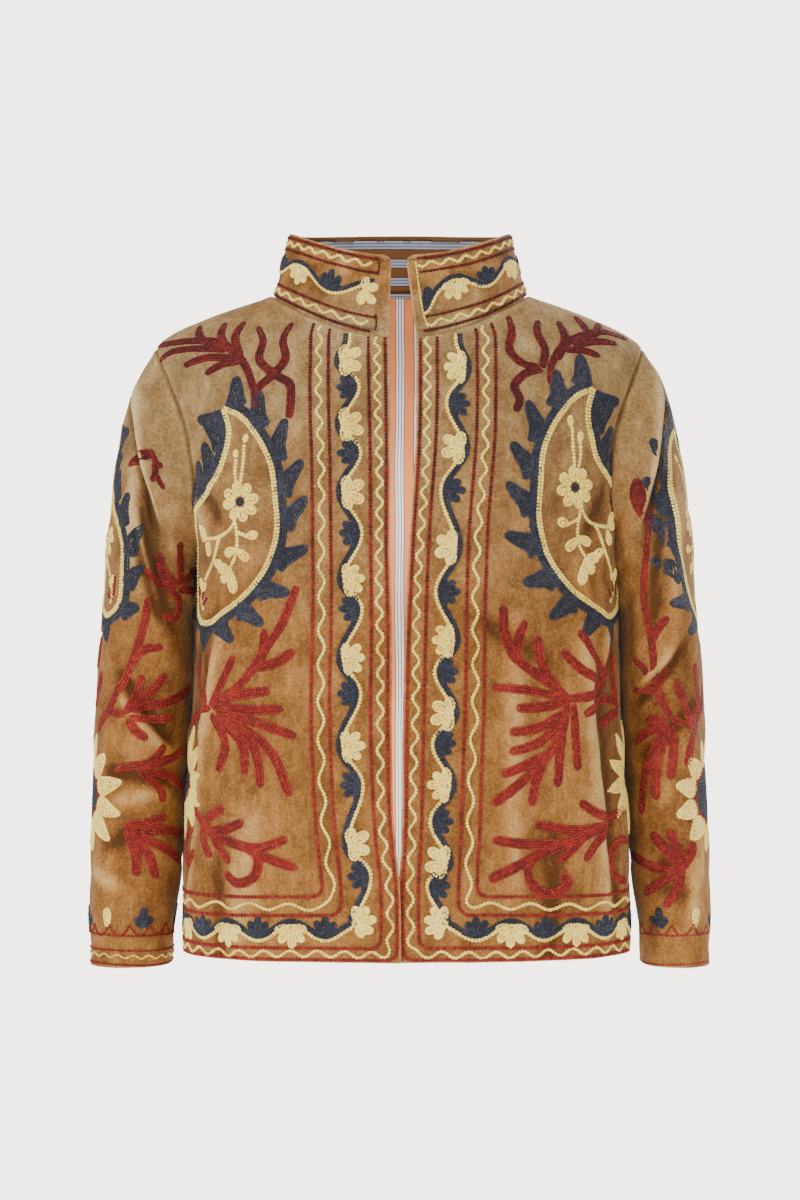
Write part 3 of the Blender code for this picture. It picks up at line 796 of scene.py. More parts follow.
# Grounds that the needle works on
class Ground:
    """Cloth laid out flat: where each place on it, in millimetres, lies in the jacket."""

    def __init__(self, name, over, down, points):
        self.name, self.over, self.down, self.points = name, over, down, points
        by_over, by_down = np.gradient(points, axis=0), np.gradient(points, axis=1)
        self.out = unit(np.cross(by_over, by_down))
        self.stitches = {}

    def look_up(self, table, places):
        """The table's values between its rows and columns."""
        i = np.clip((places[:, 0] - self.over[0]) / (self.over[1] - self.over[0]),
                    0, len(self.over) - 1.001)
        j = np.clip((places[:, 1] - self.down[0]) / (self.down[1] - self.down[0]),
                    0, len(self.down) - 1.001)
        m, n = i.astype(int), j.astype(int)
        s, t = (i - m)[:, None], (j - n)[:, None]
        low = table[m, n] * (1 - t) + table[m, n + 1] * t
        high = table[m + 1, n] * (1 - t) + table[m + 1, n + 1] * t
        return low * (1 - s) + high * s

    def spot(self, places):
        return self.look_up(self.points, places)

    def facing(self, places):
        return unit(self.look_up(self.out, places))

    def beside(self, places, distance):
        """The places that lie this far beside a line, measured on the cloth."""
        here = self.spot(places)
        ahead = np.gradient(here, axis=0)
        side = unit(np.cross(self.facing(places), ahead))
        step = 0.5
        over = (self.spot(places + [step, 0]) - self.spot(places - [step, 0])) / (2 * step)
        down = (self.spot(places + [0, step]) - self.spot(places - [0, step])) / (2 * step)
        aa, ab, bb = (np.sum(x * y, axis=1) for x, y in ((over, over), (over, down), (down, down)))
        sa, sb = np.sum(side * over, axis=1), np.sum(side * down, axis=1)
        det = np.maximum(aa * bb - ab * ab, 1e-14)
        move = np.stack([(sa * bb - sb * ab) / det, (sb * aa - sa * ab) / det], axis=1)
        return places + move * (np.asarray(distance) / MM).reshape(-1, 1)


def chart(surface, u, v, heights):
    """A surface laid out by the way round and the height, as tables of its own u and v."""
    points = surface(u, v)
    level = np.empty((len(u), len(heights)))
    laid = np.empty((len(u), len(heights), 3))
    for i in range(len(u)):
        order = np.argsort(points[i, :, 2])
        level[i] = np.interp(heights, points[i, order, 2], v[order])
        for k in range(3):
            laid[i, :, k] = np.interp(heights, points[i, order, 2], points[i, order, k])
    steps = np.linalg.norm(np.diff(laid, axis=0), axis=2)
    around = np.concatenate([np.zeros((1, len(heights))), np.cumsum(steps, axis=0)])
    return around - around[np.argmin(np.abs(u))], level


def laid_out(around, level, u, over):
    """The tables turned round: u and v for each way round and height."""
    own_u = np.stack([np.interp(over, around[:, j], u) for j in range(level.shape[1])], axis=1)
    own_v = np.stack([np.interp(own_u[:, j], u, level[:, j]) for j in range(level.shape[1])], axis=1)
    return own_u, own_v


GROUND_STEP = 2.0  # between the rows and columns of the grounds, in millimetres
HEM_Z = -616.0
NECK_Z = 8.0
BODY_HALF_ROUND = 566.0
CUFF_Z = -630.0
SLEEVE_TOP_Z = -50.0
SLEEVE_HALF_ROUND = 276.0
FRONT_PLACES = (-200, 0)  # where the left front's lap is looked for


def body_ground(name="body", middle=0.0):
    """The body laid out from its front middle, or from the back's middle at a turn of pi."""
    turns = np.linspace(-np.pi, np.pi, 721)
    levels = np.linspace(0, LEVELS[-1], 350)
    heights = np.arange(HEM_Z, NECK_Z, GROUND_STEP)
    around, level = chart(
        lambda u, v: body_form(*np.meshgrid(np.mod(u + middle, 2 * np.pi), v, indexing="ij")),
        turns, levels, heights / MM
    )
    over = np.arange(-BODY_HALF_ROUND, BODY_HALF_ROUND + 1, GROUND_STEP)
    turn, level = laid_out(around * MM, level, turns, over)
    points = body(turn + middle, level)
    if middle == 0.0:
        left = lapped(points, np.broadcast_to(heights / MM, turn.shape))
        near_lap = (over > FRONT_PLACES[0]) & (over < FRONT_PLACES[1])
        points = np.where(near_lap[:, None, None], left, points)
    ground = Ground(name, over, heights, points)
    at_hem = 15  # the row of heights in the hem's border
    ground.half_round = {LEFT: -MM * around[0, at_hem], RIGHT: MM * around[-1, at_hem]}
    return ground


def between_rows(table, own, at):
    """The table's rows at other places, straight between its own ones."""
    k = np.interp(at, own, np.arange(len(own)))
    n = np.clip(k.astype(int), 0, len(own) - 2)
    share = (k - n)[:, None, None]
    return table[n] * (1 - share) + table[n + 1] * share


def sleeve_ground(side):
    """A sleeve laid out from its outer line. Its stitches follow the flat facets of the cloth's
    own grid, so that none sinks into them."""
    angles = np.linspace(-180, 180, 361)
    along = np.linspace(0, SLEEVE_LENGTH, 260)
    heights = np.arange(CUFF_Z, SLEEVE_TOP_Z, GROUND_STEP)
    around, level = chart(
        lambda u, v: sleeve_form(u, v, side).swapaxes(0, 1), angles, along, heights / MM
    )
    over = np.arange(-SLEEVE_HALF_ROUND, SLEEVE_HALF_ROUND + 1, GROUND_STEP)
    angle, down = laid_out(around * MM, level, angles, over)
    fine_along = np.linspace(0, SLEEVE_LENGTH, 401)
    own_angles = np.linspace(-180, 180, SLEEVE_ROUND + 1)
    points = between_rows(sleeve(own_angles, SLEEVE_ROWS, side), SLEEVE_ROWS, fine_along)
    points = between_rows(points.swapaxes(0, 1), own_angles, angles)
    grid = Ground("", angles, fine_along, points)
    places = np.stack([angle.reshape(-1), down.reshape(-1)], axis=1)
    points = grid.spot(places).reshape(*angle.shape, 3)
    return Ground("sleeve_left" if side == LEFT else "sleeve_right", over, heights, points)


COLLAR_COLUMNS = 80  # in each quarter of the way round
COLLAR_ROWS = 35


def collar_surface():
    """The collar's outer surface, from its right front end round the neck to its left one: its
    points by columns and rows, and the distance round it of each column."""
    base, top = [], []
    neck = np.full(1, LEVELS[-1])
    share = np.linspace(0, 1, COLLAR_COLUMNS + 1)
    for side in (RIGHT, LEFT):
        end_x = COLLAR_TOP_RIGHT_X if side == RIGHT else COLLAR_TOP_LEFT_X
        top_start = edge_turn(end_x, COLLAR_TOP_HALF_WIDTH, COLLAR_TOP_SQUARENESS)
        back = side * np.pi / 2 * (1 + share[1:])
        for turns, start in ((base, front_edge_turn(side, neck)), (top, top_start)):
            turns.append(np.concatenate([start + (side * np.pi / 2 - start) * share, back]))
    base, top = (np.concatenate([half[0], half[1][-2::-1]]) for half in (base, top))
    low = body(np.mod(base, 2 * np.pi), np.broadcast_to(neck, base.shape))
    across, ahead = rounded_box(top, COLLAR_TOP_SQUARENESS)
    depth = np.where(ahead > 0, COLLAR_TOP_FRONT_DEPTH, COLLAR_TOP_BACK_DEPTH)
    end_z = np.where(ahead > 0, COLLAR_TOP["front_z"], COLLAR_TOP["back_z"])
    z = COLLAR_TOP["side_z"] + (end_z - COLLAR_TOP["side_z"]) * np.cos(top) ** 2
    high = np.stack([COLLAR_TOP_HALF_WIDTH * across, -depth * ahead, z], axis=-1)
    share = np.linspace(0, 1, COLLAR_ROWS + 1)[:, None, None]
    outward = np.stack([across, -ahead, 0 * across], axis=-1)
    points = low + (high - low) * share + COLLAR_BULGE * np.sin(np.pi * share) * outward
    points = points.swapaxes(0, 1)
    return points, along_line(points[:, COLLAR_ROWS // 2 + 1])


def collar_relief(points, directions, from_seam):
    """The collar's slight unevenness, and the groove at its seam."""
    lift = uneven(points[..., 0] * 1.5, points[..., 2] * 2 + points[..., 1])
    height = 0.7 * lift + seam_relief(from_seam)
    return points + directions * height[..., None], height


def collar_ground():
    """The collar laid out by the distance from its right front end and the share of its height,
    which counts as 70 mm."""
    points, length = collar_surface()
    outward = unit(np.cross(np.gradient(points, axis=0), np.gradient(points, axis=1)))
    from_seam = np.linalg.norm(points - points[:, :1], axis=2)
    points = collar_relief(points, outward, from_seam)[0]
    over = np.linspace(0, length[-1], 330)
    points = between_rows(points, length, over)
    return Ground("collar", over * MM, np.linspace(0, 70, COLLAR_ROWS + 1), points)


# Needlework
rng = np.random.default_rng(7)
CHAIN = 3.3  # length of a chain stitch on a line
CHAIN_WIDTH = 2.3
FILL_ROW = 2.6  # from one row to the next in a filled shape, about
FILL_STITCH = 4.0
FILL_OVERLAP = 1.3  # width of a filling's stitch, in rows
STITCH_HEIGHT = 1.30
ROPE = ((-1.0, -0.2), (-0.56, 0.95), (0.0, 0.45), (0.56, 0.95), (1.0, -0.2))
PLAIN = ((-1.0, -0.2), (-0.50, 0.95), (0.50, 0.95), (1.0, -0.2))


def link(outline, blunt=False):
    """One link of the chain: its points along, across and up, and its faces. A blunt one
    starts wide, so that a filled shape closes."""
    count = len(outline)
    after = [(k + 1) % count for k in range(count)]
    if blunt:
        points = [(-0.12, 0.70 * across, 0.60 * up) for across, up in outline]
        faces, first = [tuple(range(count))], 0
    else:
        points = [(-0.06, 0.0, 0.1)]
        points += [(0.28, 0.78 * across, 0.88 * up) for across, up in outline]
        faces, first = [(0, 1 + k, 1 + after[k]) for k in range(count)], 1
    points += [(0.80, across, up) for across, up in outline]
    points += [(1.16, 0.0, 0.15)]
    second = first + count
    faces += [
        (first + k, second + k, second + after[k], first + after[k]) for k in range(count)
    ]
    faces += [(second + count, second + after[k], second + k) for k in range(count)]
    return np.array(points), faces


def curve(points, step=1.2):
    """A smooth line through the points."""
    points = np.asarray(points, float)
    if len(points) == 2:
        points = np.array([points[0], points.mean(axis=0), points[1]])
    knots = along_line(points)
    count = max(int(knots[-1] / step), 3)
    return smooth(knots, points, np.linspace(0, knots[-1], count + 1))


def sew(ground, places, thread, length=CHAIN, width=CHAIN_WIDTH, height=STITCH_HEIGHT,
        filling=False):
    """One row of chain stitches along a line of places."""
    spots = ground.spot(places)
    run = along_line(spots) * MM
    count = int(round(run[-1] / length))
    if count < 1:
        return
    at = np.linspace(0, run[-1], count + 1)
    places = np.stack([np.interp(at, run, places[:, k]) for k in range(2)], axis=1)
    spots, out = ground.spot(places), ground.facing(places)
    ahead = np.diff(spots, axis=0)
    up = unit(out[:-1] + out[1:])
    side = unit(np.cross(up, ahead)) * width / 2000
    size = rng.uniform(0.9, 1.12, (count, 1))
    rows = [spots[:-1], ahead, side * size, up * height * size / MM, places[:-1]]
    ground.stitches.setdefault((thread, filling), []).append(np.concatenate(rows, axis=1))


def rounded(share):
    """How wide a round end is, from 0 at its tip to 1."""
    return np.sqrt(1 - (1 - np.clip(share, 0, 1)) ** 2)


PATCH_OVERLAP = 1.34
ROW_ROOM = -0.32  # rows of room on each side that a single row needs
LOOP_ROOM = 0.22  # the same for a loop


def patch(ground, line, half, thread):
    """A shape filled with chain stitch: loops inside each other, and a single row along the
    middle wherever there is no room left for a loop."""
    widest = 2 * half.max()
    row = widest / max(round(widest / FILL_ROW), 1)
    values = {"length": FILL_STITCH, "width": row * PATCH_OVERLAP, "filling": True}
    depth = 0.5 * row
    while depth < widest / 2 + 0.35 * row:
        room = half - depth
        narrow = np.flatnonzero(room > ROW_ROOM * row)
        if len(narrow) < 4:
            return
        first, last = narrow[0], narrow[-1]
        wide = np.flatnonzero(room > LOOP_ROOM * row)
        if len(wide) < 4:
            sew(ground, line[first : last + 1], thread, **values)
            return
        start, end = wide[0], wide[-1]
        part = slice(start, end + 1)
        room = np.maximum(room[part], 0.1)
        there = ground.beside(line[part], room)
        back = ground.beside(line[part], -room)[::-1]
        sew(ground, np.concatenate([there, back, there[:1]]), thread, **values)
        outermost = depth < 0.6 * row
        if start - first > 2 and not outermost:
            sew(ground, line[first : start + 1], thread, **values)
        if last - end > (3 if outermost else 2):
            sew(ground, line[end : last + 1], thread, **values)
        depth += row


def fill(ground, points, wide, thread, root=0.72, tip=0.92):
    """A filled stroke with round ends, a little narrower at its root."""
    line = curve(points, 0.8)
    run = along_line(line)
    share = run / run[-1]
    half = wide / 2 * (root + (1 - root) * ramp(share, 0.0, 0.35))
    half *= tip + (1 - tip) * ramp(1 - share, 0.0, 0.4)
    half *= rounded(np.minimum(run, run[-1] - run) / (wide / 2))
    patch(ground, line, half, thread)


def flame(ground, points, wide, thread):
    """A tongue of the flaming border: broad at its foot, with a round tip."""
    line = curve(points, 0.8)
    run = along_line(line)
    share = run / run[-1]
    half = wide / 2 * (1 - 0.62 * share**1.4) * rounded((run[-1] - run) / (wide * 0.22))
    patch(ground, line, half, thread)


def turned(points, angle, centre, mirror=1.0, scale=1.0):
    """Points turned by degrees, mirrored and moved to a centre."""
    angle = np.radians(angle)
    points = np.asarray(points, float) * scale
    x = (points[:, 0] * np.cos(angle) - points[:, 1] * np.sin(angle)) * mirror
    y = points[:, 0] * np.sin(angle) + points[:, 1] * np.cos(angle)
    return np.stack([x, y], axis=1) + centre


def petal(ground, base, angle, length, width, thread, pointed=False):
    """A petal or leaf that grows from its base at an angle, round or pointed at its tip."""
    bend = rng.uniform(-0.05, 0.05) * length
    line = curve(turned([(0, 0), (bend, length * 0.5), (0, length)], angle, base), 0.7)
    run = along_line(line)
    share = run / run[-1]
    if pointed:
        half = width / 2 * (0.82 + 0.18 * ramp(share, 0.0, 0.3)) * (1 - share**1.9) ** 0.8
    else:
        half = width / 2 * (0.42 + 0.58 * ramp(share, 0.0, 0.6))
        half *= rounded((run[-1] - run) / (width / 2))
    half *= rounded((run + 0.4) / (width * 0.25))
    patch(ground, line, half, thread)


def palmette(ground, base, angle, size, thread, petals=5):
    """Petals spread like a hand on the vine."""
    spread = 146.0
    for k in range(petals):
        turn = angle + spread * (k / (petals - 1) - 0.5)
        away = np.cos(np.radians(turn - angle))
        length = size * (0.70 + 0.30 * away) * rng.uniform(0.93, 1.05)
        petal(ground, base, turn, length, size * 2.28 / (petals + 0.3), thread)


def way_at(turn):
    return np.array([-np.sin(np.radians(turn)), np.cos(np.radians(turn))])


def daisy(ground, centre, reach, ring, petals=12):
    """A big flower: pointed cream petals, a red ring and a navy heart."""
    for k in range(petals):
        turn = 360 * k / petals + 11
        length = (reach - ring) * rng.uniform(0.92, 1.06)
        wide = 2 * np.pi * (ring * 0.62 + reach * 0.38) / petals
        petal(ground, centre + ring * way_at(turn), turn, length, wide, "cream", pointed=True)
    for off in (0.4, 2.4):
        sew(ground, ring_line(centre, ring - off), "red")
    radius = ring - 4.6
    while radius > 0.8:
        sew(ground, ring_line(centre, radius), "navy", FILL_STITCH, FILL_ROW * FILL_OVERLAP, filling=True)
        radius -= FILL_ROW


def ring_line(centre, radius):
    t = np.linspace(0, 2 * np.pi, 40)
    return np.array(centre) + radius * np.stack([np.sin(t), np.cos(t)], axis=1)


WAVES_LENGTHEN = (60.0, 420.0)  # from this distance along a line to that one


def wavy(line, height, period, to_period=None):
    """A line that waves from side to side of another one, in longer waves further on."""
    run = along_line(line)
    longer = np.interp(run, WAVES_LENGTHEN, [period, to_period or period])
    waves = np.concatenate([[0.0], np.cumsum(np.diff(run) / longer[1:])])
    sway = np.sin(2 * np.pi * waves) + 0.2 * np.sin(run / 31.0)
    return shifted(line, height * sway)


def shifted(line, distance):
    ahead = unit(np.gradient(line, axis=0))
    return line + np.stack([ahead[:, 1], -ahead[:, 0]], axis=1) * np.asarray(distance).reshape(-1, 1)


# The paisley, from its tip, its hollow side to the right
PAISLEY = np.array([
    (0, 0), (-15, -6), (-36, -29), (-49, -57), (-53, -93), (-54, -123), (-46, -152), (-28, -177),
    (6, -201), (40, -211), (61, -201), (67, -172), (66, -140), (52, -108), (32, -86), (13, -70),
    (0, -45), (-5, -20), (0, 0),
])
PAISLEY_FLOWER = (-16, -92)
FLAME_WIDTH = 20.5
FLAME_REACH = 1.32  # of a flame's length, as the stitches draw in
FULL_LEAN = 36.0
MOST_SLANT = 1.3
# Flames round it: place along the outline, lean in degrees, length
FLAMES = (
    (0.015, -18, 27), (0.055, -42, 24), (0.115, -48, 25), (0.175, -45, 24), (0.24, -42, 25),
    (0.305, -38, 26), (0.365, -30, 26), (0.42, -22, 27), (0.475, -15, 24), (0.53, 5, 22),
    (0.585, 20, 20), (0.64, 30, 20), (0.70, 36, 22), (0.76, 40, 22), (0.82, 42, 22),
    (0.88, 38, 24), (0.94, 34, 24), (0.985, 22, 26),
)


def paisley(ground, tip, scale, mirror):
    """A paisley: a cream outline in a navy band with flames, and a flower on stems inside."""
    def put(points):
        return turned(points, 0.0, tip, mirror, scale)

    outline = curve(put(PAISLEY), 1.0)
    outline = outline[::-1] if mirror < 0 else outline
    for off in (-1.3, 1.3):
        sew(ground, shifted(outline, off), "cream", width=3.7, height=1.9)
    for k in range(3):
        sew(ground, shifted(outline, 3.8 + FILL_ROW * k), "navy", FILL_STITCH,
            FILL_ROW * FILL_OVERLAP, filling=True)
    ahead = unit(np.gradient(outline, axis=0))
    for place, lean, length in FLAMES:
        k = int((1 - place if mirror < 0 else place) * (len(outline) - 1))
        out = np.array([ahead[k, 1], -ahead[k, 0]])
        slant = mirror * np.sign(lean) * min(abs(lean) / FULL_LEAN, MOST_SLANT) * ahead[k]
        reach = FLAME_REACH * length * scale
        bends = ((7.0, -10.0), (11.5, -2.0), (0.66 * reach, 5.0), (0.98 * reach, 13.0))
        points = [outline[k] + out * away + slant * shift for away, shift in bends]
        flame(ground, points, FLAME_WIDTH * scale, "navy")
    flower(ground, put([PAISLEY_FLOWER])[0], 20.0 * scale)
    for stem in PAISLEY_STEMS:
        sew(ground, curve(put(stem)), "cream", width=4.5)
    for x, y, angle, length, width in PAISLEY_LEAVES:
        size = (1.1 * length * scale, 1.12 * width * scale)
        petal(ground, put([(x, y)])[0], mirror * angle, *size, "cream")
    for spray in PAISLEY_REDS:
        sew(ground, curve(put(spray)), "red", width=3.8)


PAISLEY_STEMS = (
    ((-16, -80), (-19, -58), (-21, -36)), ((-14, -80), (-11, -64), (-12, -50)),
    ((-12, -102), (-6, -117), (10, -126), (28, -128)), ((10, -126), (22, -148), (40, -172), (47, -188)),
    ((-10, -112), (-13, -128), (-10, -146), (-2, -158)), ((-13, -122), (-24, -126)),
    ((47, -188), (40, -198)),
)
PAISLEY_LEAVES = (
    (-22, -38, 5, 12, 6), (-12, -52, -5, 11, 6), (28, -128, -40, 16, 9), (28, -128, -85, 14, 9),
    (26, -130, -150, 15, 10), (-22, -126, 80, 12, 9), (-12, -138, -110, 15, 9),
    (-12, -138, 130, 16, 9), (-2, -156, -95, 15, 10), (-2, -156, 165, 24, 11),
    (-1, -157, -150, 15, 10), (22, -150, 110, 13, 9), (44, -180, -20, 13, 7), (44, -182, 30, 12, 7),
)
PAISLEY_REDS = (
    ((48, -190), (52, -180), (53, -168)), ((46, -188), (40, -178), (38, -168)),
    ((47, -192), (38, -192), (32, -186)),
)


def flower(ground, centre, reach):
    """The small flower in a paisley: eight round petals and a navy eye."""
    for k in range(8):
        turn = 45 * k + 12
        petal(ground, centre + way_at(turn) * reach * 0.22, turn, reach * 0.78, reach * 0.56, "cream")
    for radius in (3.4, 1.4):
        sew(ground, ring_line(centre, radius), "navy", length=2.4, width=2.2, height=1.5)


# Coral branches: the width of each stroke, then the places that it runs through
LEFT_FRONT_CORALS = (
    (7, -133, -109, -137, -88, -148, -64, -166, -48, -205, -42, -246, -45),
    (7, -204, -26, -193, -40, -168, -50), (7, -175, -24, -173, -38, -158, -55),
    (7, -155, -23, -158, -40, -150, -60), (6, -244, -60, -225, -52, -195, -50, -165, -52),
    (7, -210, -66, -185, -59, -155, -60), (7, -186, -75, -168, -66, -150, -64),
    (7, -139, -29, -130, -42, -132, -62, -118, -76, -102, -86, -101, -100, -102, -119),
    (7, -105, -26, -110, -45, -107, -62, -120, -78, -134, -92, -135, -109),
    (7, -182, -381, -150, -362, -125, -330, -108, -305, -95, -272), (8, -142, -354, -129, -336, -126, -312),
    (8, -136, -348, -114, -342, -97, -331), (7, -186, -384, -215, -372, -231, -344),
    (7, -188, -384, -192, -356, -187, -331), (7, -183, -384, -170, -362, -157, -336),
    (8, -182, -385, -220, -390, -251, -402), (8, -182, -381, -150, -372, -121, -368),
    (8, -182, -383, -140, -386, -108, -385), (8, -176, -388, -132, -398, -96, -410),
    (8, -170, -390, -120, -424, -101, -464), (8, -172, -392, -136, -422, -129, -457),
    (8, -176, -392, -148, -418, -146, -446), (8, -182, -390, -166, -416, -176, -444),
    (8, -216, -478, -190, -498, -160, -508, -130, -512, -103, -503),
    (8, -200, -496, -186, -484, -169, -477), (8, -196, -500, -170, -497, -145, -489),
    (8, -152, -508, -125, -520, -94, -530), (8, -146, -510, -131, -520, -134, -538, -152, -545, -166, -536),
    (7, -188, -500, -174, -514, -160, -527), (7, -202, -496, -194, -511, -184, -523),
    (6, -215, -498, -234, -503, -243, -522, -226, -534, -212, -518),
)
RIGHT_FRONT_CORALS = (
    (7, 140, -86, 142, -68, 158, -46, 190, -34, 230, -38),
    (7, 109, -19, 106, -36, 102, -53, 114, -66, 131, -70), (7, 139, -22, 131, -36, 137, -52, 133, -70),
    (7, 159, -22, 158, -42, 148, -62), (7, 181, -17, 183, -34, 165, -46), (7, 204, -24, 188, -37, 168, -44),
    (7, 212, -45, 190, -43, 165, -48), (7, 192, -58, 175, -53, 156, -52),
    (7, 134, -72, 116, -76, 106, -88, 111, -100, 106, -112),
    (8, 157, -374, 128, -354, 105, -336, 97, -315, 95, -290), (8, 108, -342, 110, -322, 116, -304),
    (8, 152, -372, 134, -347, 128, -318), (7, 157, -376, 120, -368, 84, -364),
    (8, 150, -376, 185, -373, 218, -358), (8, 214, -360, 190, -338, 170, -313),
    (8, 206, -364, 176, -352, 152, -332), (6, 216, -360, 221, -345, 216, -328),
    (6, 238, -390, 232, -362, 234, -336), (8, 240, -382, 208, -377, 174, -391),
    (8, 240, -390, 222, -394, 202, -402), (8, 158, -378, 132, -383, 106, -384),
    (8, 156, -386, 128, -402, 100, -406), (8, 150, -398, 126, -417, 100, -424),
    (8, 142, -424, 116, -436, 93, -445), (8, 134, -432, 106, -456, 85, -472),
    (8, 134, -430, 124, -455, 121, -474), (8, 154, -386, 148, -425, 146, -457),
    (8, 162, -380, 164, -412, 166, -442), (8, 156, -376, 150, -405, 134, -432),
    (9, 242, -480, 215, -489, 185, -498, 150, -510, 122, -522, 81, -541),
    (8, 218, -488, 190, -484, 168, -471), (8, 206, -492, 165, -497, 125, -491),
    (8, 164, -508, 120, -509, 85, -504), (7, 174, -503, 160, -515, 148, -526),
    (8, 204, -494, 186, -510, 173, -526),
    (8, 127, -518, 118, -534, 126, -550, 144, -555, 158, -545, 152, -536),
    (7, 250, -512, 228, -510, 215, -524, 222, -544, 240, -548),
)
LEFT_SLEEVE_CORALS = (
    (9, 57, -159, 72, -151, 88, -148), (5, 86, -148, 92, -158, 99, -162), (5, 88, -156, 92, -166, 90, -176),
    (4, 92, -166, 98, -176, 104, -182), (8, 127, -274, 106, -268, 93, -256),
    (8, 127, -272, 112, -257, 109, -241), (8, 130, -272, 132, -251, 129, -231),
    (8, 132, -270, 152, -262, 174, -254), (7, 128, -276, 150, -276, 168, -280),
    (7, 117, -275, 131, -286, 127, -302, 112, -300), (7, 32, -410, 57, -381, 83, -340, 93, -309, 98, -282),
    (7, 82, -342, 94, -331, 110, -329), (6, 36, -318, 31, -334, 22, -350),
    (6, 39, -352, 31, -368, 22, -386), (7, 32, -408, 50, -391, 72, -392), (7, 72, -392, 84, -373, 91, -355),
    (8, 74, -390, 98, -372, 113, -354), (8, 78, -389, 115, -381, 151, -368),
    (7, 76, -394, 100, -398, 121, -395), (8, 74, -397, 84, -408, 93, -415),
    (7, 58, -446, 75, -441, 92, -438), (8, 84, -441, 100, -433, 107, -420),
    (8, 86, -441, 112, -435, 138, -426), (8, 86, -443, 113, -450, 140, -464),
    (8, 84, -444, 100, -458, 106, -475), (7, 66, -497, 90, -494, 110, -488),
    (8, 72, -500, 105, -501, 136, -508), (8, 72, -502, 102, -517, 130, -534),
    (8, 70, -502, 89, -524, 96, -547), (8, 68, -500, 78, -524, 78, -544),
)
RIGHT_SLEEVE_CORALS = (
    (13, 101, -172, 103, -190, 96, -212),
    (6, 96, -208, 104, -240, 104, -302, 99, -321, 92, -366, 77, -395, 50, -405),
    (7, 84, -300, 94, -312, 99, -326), (6, 82, -347, 88, -356, 92, -368),
    (6, 118, -338, 104, -350, 93, -366), (6, 118, -371, 98, -371, 86, -384),
    (8, 50, -406, 63, -384, 74, -360), (8, 48, -406, 42, -374, 45, -344), (7, 50, -404, 57, -420, 60, -441),
    (7, 46, -400, 26, -372, 14, -350), (7, 80, -402, 92, -397, 104, -400),
    (8, 80, -403, 99, -408, 118, -420), (9, 82, -402, 100, -440, 105, -486),
    (9, 80, -402, 90, -438, 89, -472), (8, 76, -402, 75, -430, 77, -453), (8, 67, -540, 78, -520, 93, -504),
    (8, 66, -540, 68, -520, 76, -501), (9, 50, -512, 58, -528, 70, -542),
    (8, 70, -540, 95, -534, 120, -524), (8, 68, -540, 84, -552, 100, -562),
    (8, 62, -536, 66, -556, 77, -573),
)


STROKE_GROWS = (1.12, 0.4)  # a stroke is filled this much wider than the table says


def corals(ground, strokes, place=lambda places: places):
    grow, more = STROKE_GROWS
    for wide, *places in strokes:
        fill(ground, place(np.array(places, float).reshape(-1, 2)), wide * grow + more, "red")


# Borders of the fronts: thread, distance from the front edge and from the hem, how far the line
# waves, the length of its waves by the edge and along the hem, and its stitches' width and length
BORDER_LINES = (
    ("red", 3.2, 2.0, 0, 20, 20, 4.3, 3.1), ("cream", 10.0, 6.8, 3.2, 17, 25, 3.6, 3.2),
    ("red", 18.0, 12.4, 0, 20, 20, 4.3, 3.1), ("red", 55.0, 42.0, 0, 20, 20, 4.3, 3.1),
    ("cream", 63.5, 50.0, 3.0, 19, 38, 3.6, 3.2), ("red", 72.0, 59.0, 0, 20, 20, 4.3, 3.1),
)
CORNER = 7.0  # how far from its corner at the hem a border line starts to bend
# Heights at which the vine swings, first towards the side seam and then back, and the last
# ones count round the corner
LEFT_SWINGS = (-44, -64, -88, -124, -150, -186, -224, -266, -293, -338, -370, -418, -453, -508, -536)
RIGHT_SWINGS = (-44, -70, -104, -145, -184, -236, -277, -322, -350, -388, -416, -454, -487, -524, -545)
VINE = (36.0, 27.0)  # distance from the front edge and from the hem
VINE_SWAY = (8.5, 7.0)  # how far it swings down the front and along the hem
VINE_BEND = 66.0  # length of one swing there and back along the hem
CREAM_PALMETTE = 20.5
NAVY_PALMETTE = 17.5


NECK_SEAM = (-41.0, 17.0, 78.0)  # its height at the front edge, and its rise over a distance
WANDER = (1.4, 47.0)  # how far a hand-sewn line strays down the front, and over what length
HEM_WANDER = (1.1, 41.0)


def neck_height(from_edge):
    """The height of the collar's seam this far from the front edge."""
    low, rise, over = NECK_SEAM
    return low + rise * min(from_edge / over, 1.0) ** 1.7


def border_line(side, from_edge, from_hem, half_round):
    """A line down the front edge, round the corner and along the hem to the back's middle."""
    top = neck_height(from_edge) - 1.5
    z = np.arange(top, HEM_Z + from_hem + CORNER, -3.0)
    down = np.stack([side * from_edge + MM * edge_x(side, z / MM), z], axis=1)
    wander = WANDER[0] * np.sin(z / WANDER[1] + 3 * side) * min(from_edge / 30.0, 1.0)
    down[:, 0] += side * wander
    over = np.arange(from_edge + CORNER, half_round + 0.1, 3.0)
    rise = HEM_WANDER[0] * np.sin(over / HEM_WANDER[1])
    along = np.stack([side * over, HEM_Z + from_hem + rise * min(from_hem / 20.0, 1.0)], axis=1)
    return curve(np.concatenate([down, along]), 1.2)


def borders(ground, side, half_round):
    """The lines and the vine of one front, carried on along the hem."""
    for thread, from_edge, from_hem, sway, wave, hem_wave, width, length in BORDER_LINES:
        line = border_line(side, from_edge, from_hem, half_round)
        sew(ground, wavy(line, sway, wave, hem_wave), thread, width=width, length=length)
    vine(ground, side, half_round)


